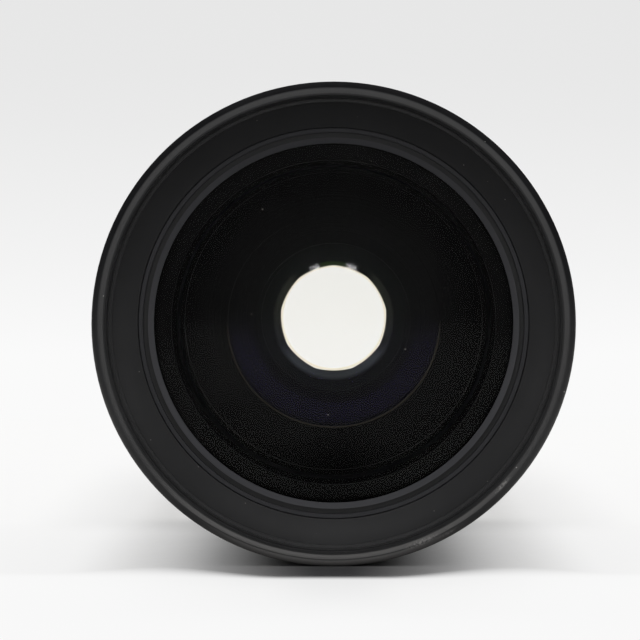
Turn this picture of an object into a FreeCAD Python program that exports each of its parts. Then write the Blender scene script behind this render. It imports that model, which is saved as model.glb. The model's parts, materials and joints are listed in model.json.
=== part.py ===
import FreeCAD, Part
import math
import os
from types import SimpleNamespace

import Sketcher

# A standard zoom lens with a bayonet mount, lying on its side.
# The optical axis is along Y, the front looks to -Y, and the origin is the centre of the bayonet's seat.
# Every piece is drawn in a frame of its own with Z forward along the optical axis, then laid down.
# "Forward" below is the distance in front of the seat, in millimetres.

SIZES = {
    # Fits and gaps
    "seat_gap": 0.05,
    "running_gap": 0.35,
    "ring_gap": 1.0,
    "slot_gap": 0.06,
    "pin_gap": 0.04,
    # Bayonet mount
    "flange_radius": 32.5,
    "flange_thick": 2.4,
    "throat_radius": 22.6,
    "spigot_wall": 2.4,
    "spigot_length": 5.6,
    "lug_stand": 2.0,
    "lug_thick": 1.6,
    "lug_space": 2.6,
    "small_screw_radius": 0.6,
    "small_head_radius": 1.1,
    "lock_slot_length": 3.6,
    "lock_slot_width": 2.2,
    "screw_inset": 3.3,
    "screw_radius": 0.85,
    "screw_head_radius": 1.75,
    "screw_length": 6.0,
    "seal_wall": 1.7,
    "seal_lip": 0.6,
    # Contacts and rear light baffle
    "block_inset": 3.6,
    "block_length": 3.3,
    "contact_radius": 0.6,
    "contact_stand": 0.4,
    "contact_depth": 1.6,
    "baffle_bore": 15.2,
    "baffle_wall": 1.2,
    "baffle_disc": 2.0,
    # Rear barrel
    "barrel_step": 1.1,
    "barrel_wall": 2.3,
    "barrel_floor": 4.0,
    "floor_bore": 24.0,
    "barrel_curve": 26.0,
    "taper_start": 2.6,
    "taper_length": 12.5,
    "body_length": 42.0,
    "shoulder_ledge": 0.6,
    "shoulder_thick": 2.0,
    "shoulder_at": 17.9,
    "collar_overlap": 6.4,
    "board_boss_radius": 2.0,
    "board_boss_inset": 2.3,
    "board_stand": 2.6,
    "board_thick": 1.2,
    "board_width": 6.7,
    "board_gap": 0.75,
    # Tubes that carry the movement
    "tube_step": 0.65,
    "tube_wall": 1.2,
    "guide_gap": 1.2,
    "guide_wall": 1.4,
    "guide_flange_thick": 2.4,
    "cam_gap": 0.6,
    "cam_wall": 1.4,
    "cam_tail": 4.0,
    "group_gap": 0.4,
    "cell_wall": 1.8,
    "roller_radius": 1.75,
    "shank_radius": 1.1,
    "roller_short": 0.2,
    "follower_inset": 2.5,
    "end_wall": 1.6,
    # Zoom travel
    "front_travel": 28.0,
    "variator_travel": 8.0,
    "carrier_travel": 16.0,
    # Grip rings
    "focus_ring_length": 16.6,
    "sleeve_wall": 1.3,
    "focus_grip_thick": 0.95,
    "zoom_grip_thick": 1.2,
    "grip_margin": 1.2,
    "scale_band": 8.0,
    "rib_groove_width": 1.5,
    "rib_groove_depth": 0.5,
    "key_width": 5.0,
    "key_thick": 2.0,
    "key_inset": 2.6,
    "key_cover": 0.5,
    # Front rim with filter thread and hood bayonet
    "front_group_depth": 16.65,
    "rim_radius": 44.0,
    "rim_depth": 12.5,
    "rim_round": 1.6,
    "rim_band": 6.6,
    "lip_step": 0.4,
    "hood_groove_depth": 1.4,
    "hood_groove_width": 3.0,
    "filter_wall": 2.95,
    "filter_chamfer": 0.5,
    "thread_floor": 5.2,
    "bezel_floor": 7.4,
    "bezel_step": 0.55,
    "ledge_step": 2.45,
    "ledge_thick": 1.5,
    # Bezel, retainer and front cell
    "bezel_width": 5.15,
    "bezel_inner_depth": 7.6,
    "bezel_curve": 14.0,
    "collar_gap": 0.2,
    "cell_collar_depth": 7.9,
    "cell_step_depth": 12.0,
    "body_step": 0.3,
    "collar_thread_wall": 0.7,
    "retainer_step": 0.95,
    "retainer_drop": 1.0,
    "lip_slope": 0.9,
    "glass_ledge": 0.6,
    # Front group glass
    "front_vertex": 5.7,
    "front_glass_step": 1.4,
    "front_curve": 150.0,
    "front_thick": 2.5,
    "front_edge_depth": 9.5,
    "cement_curve": 75.0,
    "cement_gap": 0.05,
    "second_glass_step": 3.6,
    "second_thick": 9.5,
    "second_curve": 400.0,
    "third_glass_step": 1.0,
    "third_space": 0.9,
    "third_thick": 5.8,
    "third_curve": 60.0,
    "third_back_curve": 140.0,
    "cell_lip": 1.0,
    # Variator group
    "group_space": 1.2,
    "variator_length": 12.5,
    "variator_wall": 3.45,
    "variator_room": 7.9,
    "variator_lip": 1.05,
    "web_thick": 2.0,
    "variator_curve": 120.0,
    "variator_back_curve": 36.0,
    "variator_thick": 1.8,
    "variator_rear_curve": 34.0,
    "variator_rear_thick": 4.6,
    # Carrier with iris, relay lens and focus drive
    "carrier_length": 36.0,
    "carrier_follower_inset": 14.0,
    "cover_thick": 0.8,
    "blade_arm": 5.6,
    "collar_wall": 0.45,
    "collar_length": 1.05,
    "ring_thick": 0.8,
    "ring_space": 0.15,
    "ring_inset": 9.2,
    "blade_thick": 0.1,
    "blade_space": 0.05,
    "blade_room": 0.2,
    "blade_width": 4.7,
    "pivot_inset": 12.8,
    "blade_pin": 0.5,
    "drive_offset": 3.0,
    "rest_opening": 10.2,
    "least_opening": 1.8,
    "base_thick": 1.8,
    "base_rim": 1.4,
    "relay_inset": 16.65,
    "relay_wall": 1.45,
    "relay_length": 9.7,
    "window_width": 38.0,
    "window_length": 14.0,
    "plate_step": 0.3,
    "plate_thick": 2.0,
    "rod_radius": 1.0,
    "rod_inset": 6.4,
    "motor_radius": 3.6,
    "motor_length": 9.0,
    # Gear pair of the iris
    "gear_inset": 6.0,
    "gear_backlash": 0.08,
    # Focus group and its linear motors
    "focus_glass": 13.5,
    "focus_cell_wall": 2.45,
    "focus_length": 7.0,
    "focus_inset": 20.0,
    "focus_travel": 4.0,
    "boss_radius": 2.4,
    "bar_inset": 9.2,
    "bar_thick": 1.4,
    "yoke_inset": 2.6,
    "yoke_width": 6.0,
    "magnet_thick": 1.6,
    "coil_wall": 1.2,
    "coil_gap": 0.3,
    "arm_width": 4.0,
    # Rear group
    "rear_glass": 15.0,
    "rear_cell_wall": 2.3,
    "rear_cell_length": 12.4,
    "rear_cell_flange": 26.5,
    "rear_flange_thick": 1.6,
    "rear_vertex": 1.6,
    # Switch and button on the rear barrel
    "panel_thick": 0.8,
    "panel_margin": 2.4,
    "panel_back": 18.6,
    "switch_slot_length": 7.6,
    "switch_slot_width": 3.8,
    "knob_length": 4.0,
    "knob_width": 3.2,
    "knob_stand": 1.4,
    "switch_travel": 3.0,
    "button_radius": 3.6,
    "button_at": 29.5,
    "button_stand": 1.0,
    "button_skirt": 1.0,
    "button_travel": 0.8,
    "button_gap": 0.3,
}

# Counts and angles in degrees
ZOOM_ANGLE = 70.0
FOLLOWERS = 3
FRONT_SLOT_ANGLE = 0.0
VARIATOR_SLOT_ANGLE = 60.0
CARRIER_SLOT_ANGLE = 30.0
KEY_ANGLE = 60.0
KEY_SLOT_MARGIN = 5.0
LUGS = 3
LUG_SWEEP = 52.0
MOUNT_SCREWS = 4
CONTACTS = 9
CONTACT_STEP = 7.2
BLOCK_SWEEP = 72.0
GRIP_RIBS = 48
FOCUS_RIBS = 54
HOOD_LUGS = 3
HOOD_NOTCH_SWEEP = 34.0
BOARD_BOSSES = 4
BLADES = 9
BLADE_START = -11.0
BLADE_END = 122.0
BLADE_PER_RING = 2.5
PINION_TEETH = 12
RING_TEETH = 120
SECTOR_TEETH = 10
MOTOR_ANGLE = 52.0
PRESSURE_ANGLE = 20.0
PANEL_SWEEP = 26.0
BUTTON_ANGLE = 152.0
WINDOW_ANGLE = 90.0

doc = FreeCAD.newDocument("standard_zoom_lens")
Vector = FreeCAD.Vector
Rotation = FreeCAD.Rotation
Placement = FreeCAD.Placement
ORIGIN = Vector(0, 0, 0)
FORWARD = Vector(0, 0, 1)
LAID_DOWN = Placement(ORIGIN, Rotation(Vector(1, 0, 0), 90))
nodes = []


class Length:
    """A length that knows its value and its formula in the sheet."""

    def __init__(self, value, formula):
        self.value = float(value)
        self.formula = formula

    def __add__(self, other):
        other = length(other)
        return Length(self.value + other.value, f"({self.formula} + {other.formula})")

    def __sub__(self, other):
        other = length(other)
        return Length(self.value - other.value, f"({self.formula} - {other.formula})")

    def __mul__(self, other):
        other = length(other)
        return Length(self.value * other.value, f"({self.formula} * {other.formula})")

    def __truediv__(self, other):
        other = length(other)
        return Length(self.value / other.value, f"({self.formula} / {other.formula})")

    def __neg__(self):
        return Length(-self.value, f"(0 - {self.formula})")


def length(number):
    return number if isinstance(number, Length) else Length(number, repr(float(number)))


def root(square):
    return Length(math.sqrt(square.value), f"sqrt({square.formula})")


def sagitta(curve, half_width):
    """How deep a spherical face of radius curve is at half_width from its axis."""
    return curve - root(curve * curve - half_width * half_width)


ZERO = length(0)

sheet = doc.addObject("Spreadsheet::Sheet", "Sizes")
size = SimpleNamespace()
for row, (name, value) in enumerate(SIZES.items(), start=1):
    sheet.set(f"A{row}", name)
    sheet.set(f"B{row}", str(value))
    sheet.setAlias(f"B{row}", name)
    setattr(size, name, Length(value, f"Sizes.{name}"))
doc.recompute()

# Radii, from the rim inwards. Each follows from its neighbour by a wall, a step or a gap
size.filter_radius = size.rim_radius - size.filter_wall
size.rim_lip = size.rim_radius - size.lip_step
size.hood_groove_radius = size.rim_radius - size.hood_groove_depth
size.tube_radius = size.filter_radius - size.tube_step
size.barrel_radius = size.tube_radius + size.barrel_step
size.spigot_radius = size.throat_radius + size.spigot_wall
size.lug_radius = size.spigot_radius + size.lug_stand
size.screw_circle = size.flange_radius - size.screw_inset
size.block_inner_radius = size.throat_radius - size.block_inset
size.panel_length = size.body_length - size.panel_back - size.panel_margin
size.barrel_back_radius = size.flange_radius + size.seal_wall
tube_bore = size.tube_radius - size.tube_wall
size.guide_radius = tube_bore - size.guide_gap
guide_bore = size.guide_radius - size.guide_wall
cam_radius = guide_bore - size.cam_gap
cam_bore = cam_radius - size.cam_wall
group_radius = cam_bore - size.group_gap
group_bore = group_radius - size.cell_wall
sleeve_bore = size.tube_radius + size.running_gap
sleeve_radius = sleeve_bore + size.sleeve_wall
slot_half = size.roller_radius + size.slot_gap
guide_screw_circle = guide_bore + size.ring_gap
size.shoulder_bore = guide_bore - size.shoulder_ledge
size.board_radius = size.barrel_back_radius - size.barrel_wall / 2 - size.board_gap
size.board_bore = size.board_radius - size.board_width
size.board_boss_circle = size.board_radius - size.board_boss_inset

# Radii of the front group
size.ledge_bore = size.filter_radius - size.ledge_step
size.bezel_bore = size.filter_radius - size.bezel_width
size.cell_collar = size.bezel_bore - size.collar_gap
size.cell_body = size.cell_collar - size.body_step
size.retainer_radius = size.cell_collar - size.collar_thread_wall
size.lip_radius = size.retainer_radius - size.retainer_step
size.front_glass = size.retainer_radius - size.front_glass_step
size.glass_clear = size.front_glass - size.glass_ledge
size.second_glass = size.front_glass - size.second_glass_step
size.third_glass = size.second_glass - size.third_glass_step

# Radii of the groups inside the cam barrel
size.variator_ring = group_bore - size.variator_room
size.variator_bore = size.variator_ring - size.variator_wall
size.variator_opening = size.variator_bore - size.variator_lip
size.ring_radius = group_bore - size.ring_inset
size.pivot_radius = group_bore - size.pivot_inset
size.iris_bore = size.pivot_radius - size.blade_arm
size.collar_bore = size.iris_bore + size.seat_gap
size.relay_bore = group_bore - size.relay_inset
size.plate_bore = size.relay_bore + size.relay_wall + size.plate_step
size.rod_circle = group_bore - size.rod_inset
size.gear_module = (group_bore - size.gear_inset) / ((RING_TEETH + PINION_TEETH) / 2)
size.bar_inner = group_bore - size.bar_inset
size.yoke_outer = group_bore - size.yoke_inset

# Places along the axis, forward of the seat, from the mount to the rim
barrel_back = size.flange_thick + size.seat_gap
floor_front = barrel_back + size.barrel_floor
shoulder_front = size.shoulder_at + size.shoulder_thick
guide_back = shoulder_front + size.seat_gap
focus_start = size.body_length + size.ring_gap
focus_end = focus_start + size.focus_ring_length
zoom_start = focus_end + size.ring_gap
key_at = zoom_start + size.key_inset
collar_end = zoom_start + size.collar_overlap
tube_back = collar_end + size.follower_inset
front_follower = tube_back + size.follower_inset
barrel_end = front_follower + size.front_travel + size.roller_radius + size.end_wall
front_at = barrel_end + size.front_group_depth
rim_back = front_at - size.rim_depth
zoom_end = rim_back - size.ring_gap
second_vertex = front_at - size.front_vertex - size.front_thick - size.cement_gap
third_vertex = second_vertex - size.second_thick - size.third_space
third_edge = third_vertex - size.third_thick - sagitta(size.third_back_curve, size.third_glass)
cell_back = third_edge - size.seat_gap - size.cell_lip
variator_front = cell_back - size.group_space
variator_back = variator_front - size.variator_length
variator_follower = variator_back + size.follower_inset + size.ring_gap
carrier_front = variator_back - (size.carrier_travel - size.variator_travel) - size.ring_gap
carrier_back = carrier_front - size.carrier_length
carrier_follower = carrier_front - size.carrier_follower_inset
cam_back = carrier_follower - size.cam_tail

def origin_feature(body, role):
    return next(item for item in body.Origin.OriginFeatures if item.Role == role)


def start_body(name, turn=0.0):
    """A body for one node, laid down along the optical axis and turned about it."""
    body = doc.addObject("PartDesign::Body", name)
    body.Label = name
    body.Placement = LAID_DOWN * Placement(ORIGIN, Rotation(FORWARD, turn))
    nodes.append(body)
    return body


def keep_shape(name, shape, placement=LAID_DOWN):
    """A node whose shape is made from Part's own solids."""
    feature = doc.addObject("Part::Feature", name)
    feature.Label = name
    feature.Shape = shape
    feature.Placement = placement
    nodes.append(feature)
    return feature


def set_formula(feature, property_name, value):
    feature.setExpression(property_name, length(value).formula)


def start_sketch(body, name, plane, offset=None):
    sketch = body.newObject("Sketcher::SketchObject", name)
    sketch.AttachmentSupport = [(origin_feature(body, plane), "")]
    sketch.MapMode = "FlatFace"
    if offset is not None:
        sketch.AttachmentOffset = offset
    return sketch


def fix_point(sketch, geometry, end, across, forward):
    """Hold one end of an edge at its place from the sheet."""
    for kind, distance in (("DistanceX", across), ("DistanceY", forward)):
        index = sketch.addConstraint(Sketcher.Constraint(kind, -1, 1, geometry, end, distance.value))
        sketch.setExpression(f"Constraints[{index}]", distance.formula)


def draw_loop(sketch, points):
    """Draw a closed outline. A point is (across, forward), and an arc to it adds (radius, side).

    The side is where the arc's centre lies as seen along the way to the point. A radius of None is
    half a circle.
    """
    places = [(length(point[0]), length(point[1])) for point in points]
    ends = []
    count = len(points)
    for index in range(count):
        target = (index + 1) % count
        first = Vector(places[index][0].value, places[index][1].value, 0)
        last = Vector(places[target][0].value, places[target][1].value, 0)
        if len(points[target]) == 2:
            geometry = sketch.addGeometry(Part.LineSegment(first, last), False)
            ends.append((geometry, 1, 2))
            continue
        radius, side = points[target][2:]
        chord = last.sub(first)
        half = chord.Length / 2
        reach = half if radius is None else radius.value
        height = math.sqrt(max(reach**2 - half**2, 0.0))
        sign = 1 if side == "left" else -1
        left = Vector(-chord.y, chord.x, 0).normalize()
        centre = first.add(last).multiply(0.5).add(left.multiply(sign * height))
        angles = [math.atan2(end.y - centre.y, end.x - centre.x) for end in (first, last)]
        if side == "right":
            angles.reverse()
        circle = Part.Circle(centre, FORWARD, reach)
        geometry = sketch.addGeometry(Part.ArcOfCircle(circle, angles[0], angles[1]), False)
        ends.append((geometry, 1, 2) if side == "left" else (geometry, 2, 1))
        if radius is None:
            sketch.addConstraint(Sketcher.Constraint("Symmetric", geometry, 1, geometry, 2, geometry, 3))
        else:
            held = sketch.addConstraint(Sketcher.Constraint("Radius", geometry, reach))
            sketch.setExpression(f"Constraints[{held}]", radius.formula)
    for index in range(count):
        here = ends[index]
        after = ends[(index + 1) % count]
        sketch.addConstraint(Sketcher.Constraint("Coincident", here[0], here[2], after[0], after[1]))
        fix_point(sketch, here[0], here[1], *places[index])


def section(body, name, points, turn=0.0):
    """An outline in a plane through the axis, across and forward, turned about the axis."""
    sketch = start_sketch(body, f"{name}_section", "XZ_Plane", Placement(ORIGIN, Rotation(Vector(0, 1, 0), turn)))
    draw_loop(sketch, points)
    return sketch


def revolve(body, name, points, start=0.0, sweep=360.0, kind="Revolution"):
    sketch = section(body, name, points, start)
    feature = body.newObject(f"PartDesign::{kind}", name)
    feature.Profile = sketch
    feature.ReferenceAxis = (sketch, ["V_Axis"])
    feature.Angle = sweep
    return feature


def groove(body, name, points, start=0.0, sweep=360.0):
    return revolve(body, name, points, start, sweep, "Groove")


def window(body, name, points, angle, depth):
    """A hole through one side of a tube, drawn flat as seen from outside at the angle."""
    sketch = section(body, name, points, angle - 90)
    feature = body.newObject("PartDesign::Pocket", name)
    feature.Profile = sketch
    set_formula(feature, "Length", depth)
    return feature


def rectangle(half_width, low, high):
    return [(-half_width, low), (half_width, low), (half_width, high), (-half_width, high)]


def stadium(half_width, low, high):
    """A slot with round ends, from the low centre to the high centre."""
    return [
        (-half_width, high),
        (-half_width, low),
        (half_width, low, None, "left"),
        (half_width, high),
        (-half_width, high, None, "left"),
    ][1:]


def draw_circle(sketch, across, up, radius):
    circle = Part.Circle(Vector(length(across).value, length(up).value, 0), FORWARD, radius.value)
    geometry = sketch.addGeometry(circle, False)
    fix_point(sketch, geometry, 3, length(across), length(up))
    index = sketch.addConstraint(Sketcher.Constraint("Radius", geometry, radius.value))
    sketch.setExpression(f"Constraints[{index}]", radius.formula)


def round_window(body, name, radius, forward, angle, depth):
    """A round hole through one side of a tube."""
    offset = Placement(ORIGIN, Rotation(Vector(0, 1, 0), angle - 90))
    sketch = start_sketch(body, f"{name}_circle", "XZ_Plane", offset)
    draw_circle(sketch, ZERO, forward, radius)
    feature = body.newObject("PartDesign::Pocket", name)
    feature.Profile = sketch
    set_formula(feature, "Length", depth)
    return feature


def cross_sketch(body, name, forward, turn=0.0):
    """A sketch square to the axis, at its place along it."""
    offset = Placement(Vector(0, 0, forward.value), Rotation(FORWARD, turn))
    sketch = start_sketch(body, name, "XY_Plane", offset)
    sketch.setExpression("AttachmentOffset.Base.z", forward.formula)
    return sketch


def drill(body, name, radius, circle, forward, depth, turn=0.0, towards_rear=True):
    """A round hole along the axis, from its mouth, on a circle about the axis."""
    sketch = cross_sketch(body, f"{name}_circle", forward, turn)
    draw_circle(sketch, circle, ZERO, radius)
    feature = body.newObject("PartDesign::Pocket", name)
    feature.Profile = sketch
    feature.Reversed = not towards_rear
    set_formula(feature, "Length", depth)
    return feature


def post(body, name, radius, circle, forward, height, turn=0.0):
    """A round post standing forward on a circle about the axis."""
    sketch = cross_sketch(body, f"{name}_circle", forward, turn)
    draw_circle(sketch, circle, ZERO, radius)
    return pad(body, name, sketch, height)


def pad(body, name, sketch, height):
    feature = body.newObject("PartDesign::Pad", name)
    feature.Profile = sketch
    set_formula(feature, "Length", height)
    return feature


def slab(body, name, points, forward, height, turn=0.0):
    """A straight piece with the outline square to the axis."""
    sketch = cross_sketch(body, f"{name}_outline", forward, turn)
    draw_loop(sketch, points)
    return pad(body, name, sketch, height)


def repeat(body, name, features, count, sweep=360.0):
    """Repeat features about the axis."""
    doc.recompute()
    feature = body.newObject("PartDesign::PolarPattern", name)
    feature.Originals = features
    feature.Axis = (origin_feature(body, "Z_Axis"), [""])
    feature.Angle = sweep
    feature.Occurrences = count
    body.Tip = feature
    return feature


def turned(name, points):
    """A node that is one turned piece."""
    body = start_body(name)
    revolve(body, f"{name}_turned", points)
    return body


def tube(name, bore, radius, low, high):
    return turned(name, [(bore, low), (radius, low), (radius, high), (bore, high)])


def lens_element(name, radius, back, back_curve, front, front_curve, back_clear=None, front_clear=None):
    """A glass element. A curve is positive where its face bulges outwards."""
    back_clear = back_clear or radius
    front_clear = front_clear or radius
    back_sag = sagitta(magnitude(back_curve), back_clear)
    front_sag = sagitta(magnitude(front_curve), front_clear)
    bulges_back = back_curve.value > 0
    bulges_front = front_curve.value > 0
    back_edge = back + back_sag if bulges_back else back - back_sag
    front_edge = front - front_sag if bulges_front else front + front_sag
    points = [(ZERO, back)]
    points.append((back_clear, back_edge, magnitude(back_curve), "left" if bulges_back else "right"))
    if back_clear is not radius:
        points.append((radius, back_edge))
    if front_clear is not radius:
        points.append((radius, front_edge))
        points.append((front_clear, front_edge))
    else:
        points.append((radius, front_edge))
    points.append((ZERO, front, magnitude(front_curve), "left" if bulges_front else "right"))
    return turned(name, points)


def magnitude(curve):
    return curve if curve.value > 0 else -curve


def bayonet_mount():
    """Plated flange with its spigot, three lugs, screw holes and the slot for the lock pin."""
    body = start_body("bayonet_mount")
    back = -size.spigot_length
    revolve(body, "flange_and_spigot", [
        (size.throat_radius, back),
        (size.spigot_radius, back),
        (size.spigot_radius, ZERO),
        (size.flange_radius, ZERO),
        (size.flange_radius, size.flange_thick),
        (size.throat_radius, size.flange_thick),
    ])
    lug_front = -size.lug_space
    lug_back = lug_front - size.lug_thick
    inside = size.spigot_radius - size.lug_thick
    lug = revolve(body, "lug", [
        (inside, lug_back),
        (size.lug_radius, lug_back),
        (size.lug_radius, lug_front),
        (inside, lug_front),
    ], start=-LUG_SWEEP / 2, sweep=LUG_SWEEP)
    repeat(body, "lugs", [lug], LUGS)
    head = size.screw_head_radius + size.seat_gap
    shank = size.screw_radius + size.seat_gap
    half_turn = 180 / MOUNT_SCREWS
    hole = drill(body, "screw_hole", shank, size.screw_circle, ZERO, size.flange_thick * 2, half_turn, False)
    sink = drill(body, "screw_sink", head, size.screw_circle, ZERO, size.screw_radius, half_turn, False)
    repeat(body, "screw_holes", [hole, sink], MOUNT_SCREWS)
    half_width = size.lock_slot_width / 2
    half_length = size.lock_slot_length / 2
    sketch = cross_sketch(body, "lock_slot_outline", ZERO, 180)
    draw_loop(sketch, [
        (size.screw_circle - half_width, -half_length),
        (size.screw_circle + half_width, -half_length),
        (size.screw_circle + half_width, half_length),
        (size.screw_circle - half_width, half_length),
    ])
    slot = body.newObject("PartDesign::Pocket", "lock_slot")
    slot.Profile = sketch
    slot.Reversed = True
    set_formula(slot, "Length", size.flange_thick * 2)


def screw_set(name, count, first_turn, head_radius, radius, circle, low, high):
    """Identical screws about the axis, heads to the rear, as separate solids."""
    head_depth = radius - size.seat_gap * 2
    solids = []
    for index in range(count):
        foot = polar(circle.value, first_turn + 360 / count * index, low.value)
        shank = Part.makeCylinder(radius.value, (high - low).value, foot)
        head = Part.makeCylinder(head_radius.value, head_depth.value, foot)
        solids.append(shank.fuse(head).removeSplitter())
    keep_shape(name, Part.makeCompound(solids))


def mount_screws():
    screw_set("mount_screws", MOUNT_SCREWS, 180 / MOUNT_SCREWS, size.screw_head_radius, size.screw_radius,
              size.screw_circle, size.seat_gap, size.screw_length)


def mount_seal():
    """Rubber lip round the flange that presses on the camera."""
    bore = size.flange_radius + size.seat_gap
    turned("mount_seal", [
        (bore, ZERO),
        (bore + size.seal_wall, -size.seal_lip),
        (bore + size.seal_wall, size.flange_thick),
        (bore, size.flange_thick),
    ])


def contact_block():
    """Moulded block inside the spigot that carries the contacts."""
    body = start_body("contact_block")
    outer = size.throat_radius - size.pin_gap * 5
    front = -size.baffle_wall - size.seat_gap
    back = front - size.block_length
    start = 270 - BLOCK_SWEEP / 2
    revolve(body, "block", [
        (size.block_inner_radius, back),
        (outer, back),
        (outer, front),
        (size.block_inner_radius, front),
    ], start=start, sweep=BLOCK_SWEEP)
    middle = (size.block_inner_radius + outer) / 2
    hole_radius = size.contact_radius + size.pin_gap
    first = 270 - CONTACT_STEP * (CONTACTS - 1) / 2
    hole = drill(body, "contact_hole", hole_radius, middle, back, size.contact_depth + size.seat_gap, first, False)
    repeat(body, "contact_holes", [hole], CONTACTS, CONTACT_STEP * (CONTACTS - 1))

    pins = []
    for index in range(CONTACTS):
        angle = math.radians(first + CONTACT_STEP * index)
        foot = Vector(middle.value * math.cos(angle), middle.value * math.sin(angle), 0)
        foot.z = (back - size.contact_stand).value
        tall = (size.contact_stand + size.contact_depth).value
        pins.append(Part.makeCylinder(size.contact_radius.value, tall, foot))
    keep_shape("contact_pins", Part.makeCompound(pins))


def rear_baffle():
    """Black funnel round the rear glass that stops stray light."""
    disc_radius = size.throat_radius - size.pin_gap * 5
    front = size.baffle_disc - size.baffle_wall
    funnel_back = -size.baffle_wall - size.block_length
    funnel_wall = size.baffle_bore + size.baffle_wall
    turned("rear_baffle", [
        (size.baffle_bore, funnel_back),
        (funnel_wall, funnel_back),
        (funnel_wall + size.baffle_wall, -size.baffle_wall),
        (disc_radius, -size.baffle_wall),
        (disc_radius, front),
        (size.baffle_bore, front),
    ])


def rear_barrel():
    """Fixed outer shell from the mount to the collar that carries the two grip rings."""
    body = start_body("rear_barrel")
    taper_front = barrel_back + size.taper_start + size.taper_length
    inner_back = size.barrel_back_radius - size.barrel_wall / 2
    revolve(body, "shell", [
        (size.floor_bore, barrel_back),
        (size.barrel_back_radius, barrel_back),
        (size.barrel_back_radius + size.tube_wall, barrel_back + size.taper_start),
        (size.barrel_radius, taper_front, size.barrel_curve, "left"),
        (size.barrel_radius, size.body_length),
        (size.tube_radius, size.body_length),
        (size.tube_radius, collar_end),
        (tube_bore, collar_end),
        (tube_bore, shoulder_front),
        (size.shoulder_bore, shoulder_front),
        (size.shoulder_bore, size.shoulder_at),
        (tube_bore, size.shoulder_at),
        (inner_back, floor_front),
        (size.floor_bore, floor_front),
    ])
    boss = post(body, "board_boss", size.board_boss_radius, size.board_boss_circle,
                floor_front - size.seat_gap, size.board_stand + size.seat_gap)
    repeat(body, "board_bosses", [boss], BOARD_BOSSES)
    hole_radius = size.screw_radius + size.seat_gap
    hole = drill(body, "screw_hole", hole_radius, size.screw_circle, barrel_back,
                 size.screw_length - size.flange_thick, 180 / MOUNT_SCREWS, False)
    repeat(body, "screw_holes", [hole], MOUNT_SCREWS)
    guide_hole = drill(body, "guide_screw_hole", size.small_screw_radius + size.seat_gap, guide_screw_circle,
                       shoulder_front, size.shoulder_thick * 1.5)
    repeat(body, "guide_screw_holes", [guide_hole], FOLLOWERS)
    slot_low = key_at - size.key_thick / 2 - size.button_gap
    slot_high = key_at + size.key_thick / 2 + size.button_gap
    groove(body, "key_slot", [
        (tube_bore - size.ring_gap, slot_low),
        (size.tube_radius + size.ring_gap, slot_low),
        (size.tube_radius + size.ring_gap, slot_high),
        (tube_bore - size.ring_gap, slot_high),
    ], KEY_ANGLE - KEY_SLOT_MARGIN, ZOOM_ANGLE + 2 * KEY_SLOT_MARGIN)
    switch_low = size.panel_back + (size.panel_length - size.switch_slot_length) / 2
    window(body, "switch_slot", rectangle(size.switch_slot_width / 2, switch_low,
                                          switch_low + size.switch_slot_length),
           0, size.barrel_radius * 2)
    round_window(body, "button_hole", size.button_radius + size.button_gap, size.button_at,
                 BUTTON_ANGLE, size.barrel_radius * 2)
    skirt_radius = size.button_radius + size.button_gap + size.button_skirt
    round_window(body, "button_room", skirt_radius + size.button_gap, size.button_at, BUTTON_ANGLE,
                 size.barrel_radius - size.button_skirt)


def switch_panel():
    """Thin curved plate let on to the rear barrel, with the switch's slot."""
    body = start_body("switch_panel")
    bore = size.barrel_radius + size.seat_gap
    high = size.panel_back + size.panel_length
    revolve(body, "plate", [
        (bore, size.panel_back),
        (bore + size.panel_thick, size.panel_back),
        (bore + size.panel_thick, high),
        (bore, high),
    ], start=-PANEL_SWEEP / 2, sweep=PANEL_SWEEP)
    switch_low = size.panel_back + (size.panel_length - size.switch_slot_length) / 2
    window(body, "switch_slot", rectangle(size.switch_slot_width / 2, switch_low,
                                          switch_low + size.switch_slot_length),
           0, size.barrel_radius * 2)


def mode_switch():
    """Sliding knob of the focus mode, with its foot inside the shell."""
    body = start_body("mode_switch")
    slot_low = size.panel_back + (size.panel_length - size.switch_slot_length) / 2
    low = slot_low + size.button_gap
    top = size.barrel_radius + size.panel_thick + size.knob_stand
    bottom = size.guide_radius + size.running_gap
    foot_top = tube_bore - size.group_gap
    half = size.knob_width / 2
    knob = cross_sketch(body, "knob_outline", low)
    draw_loop(knob, [(bottom, -half), (top, -half), (top, half), (bottom, half)])
    pad(body, "knob", knob, size.knob_length)
    foot_half = size.switch_slot_width / 2 + size.ring_gap
    foot = cross_sketch(body, "foot_outline", low - size.ring_gap)
    draw_loop(foot, [(bottom, -foot_half), (foot_top, -foot_half), (foot_top, foot_half), (bottom, foot_half)])
    pad(body, "foot", foot, size.knob_length + size.ring_gap * 2)


def hold_button():
    """Round push button with a skirt that keeps it inside the shell."""
    skirt_top = size.barrel_radius - size.button_skirt - size.button_gap
    bottom = skirt_top - size.button_travel
    top = size.barrel_radius + size.button_stand
    skirt_radius = size.button_radius + size.button_gap + size.button_skirt
    cap = Part.makeCylinder(size.button_radius.value, (top - bottom).value)
    skirt = Part.makeCylinder(skirt_radius.value, (skirt_top - bottom).value)
    shape = cap.fuse(skirt).removeSplitter()
    edges = [edge for edge in shape.Edges if edge.BoundBox.ZMin > (top - bottom).value - 0.01]
    shape = shape.makeFillet(size.button_travel.value / 2, edges)
    upright = Placement(Vector(bottom.value, 0, 0), Rotation(Vector(0, 1, 0), 90))
    around = Placement(ORIGIN, Rotation(FORWARD, BUTTON_ANGLE))
    lift = Placement(Vector(0, 0, size.button_at.value), Rotation())
    keep_shape("hold_button", shape, LAID_DOWN * lift * around * upright)


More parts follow.
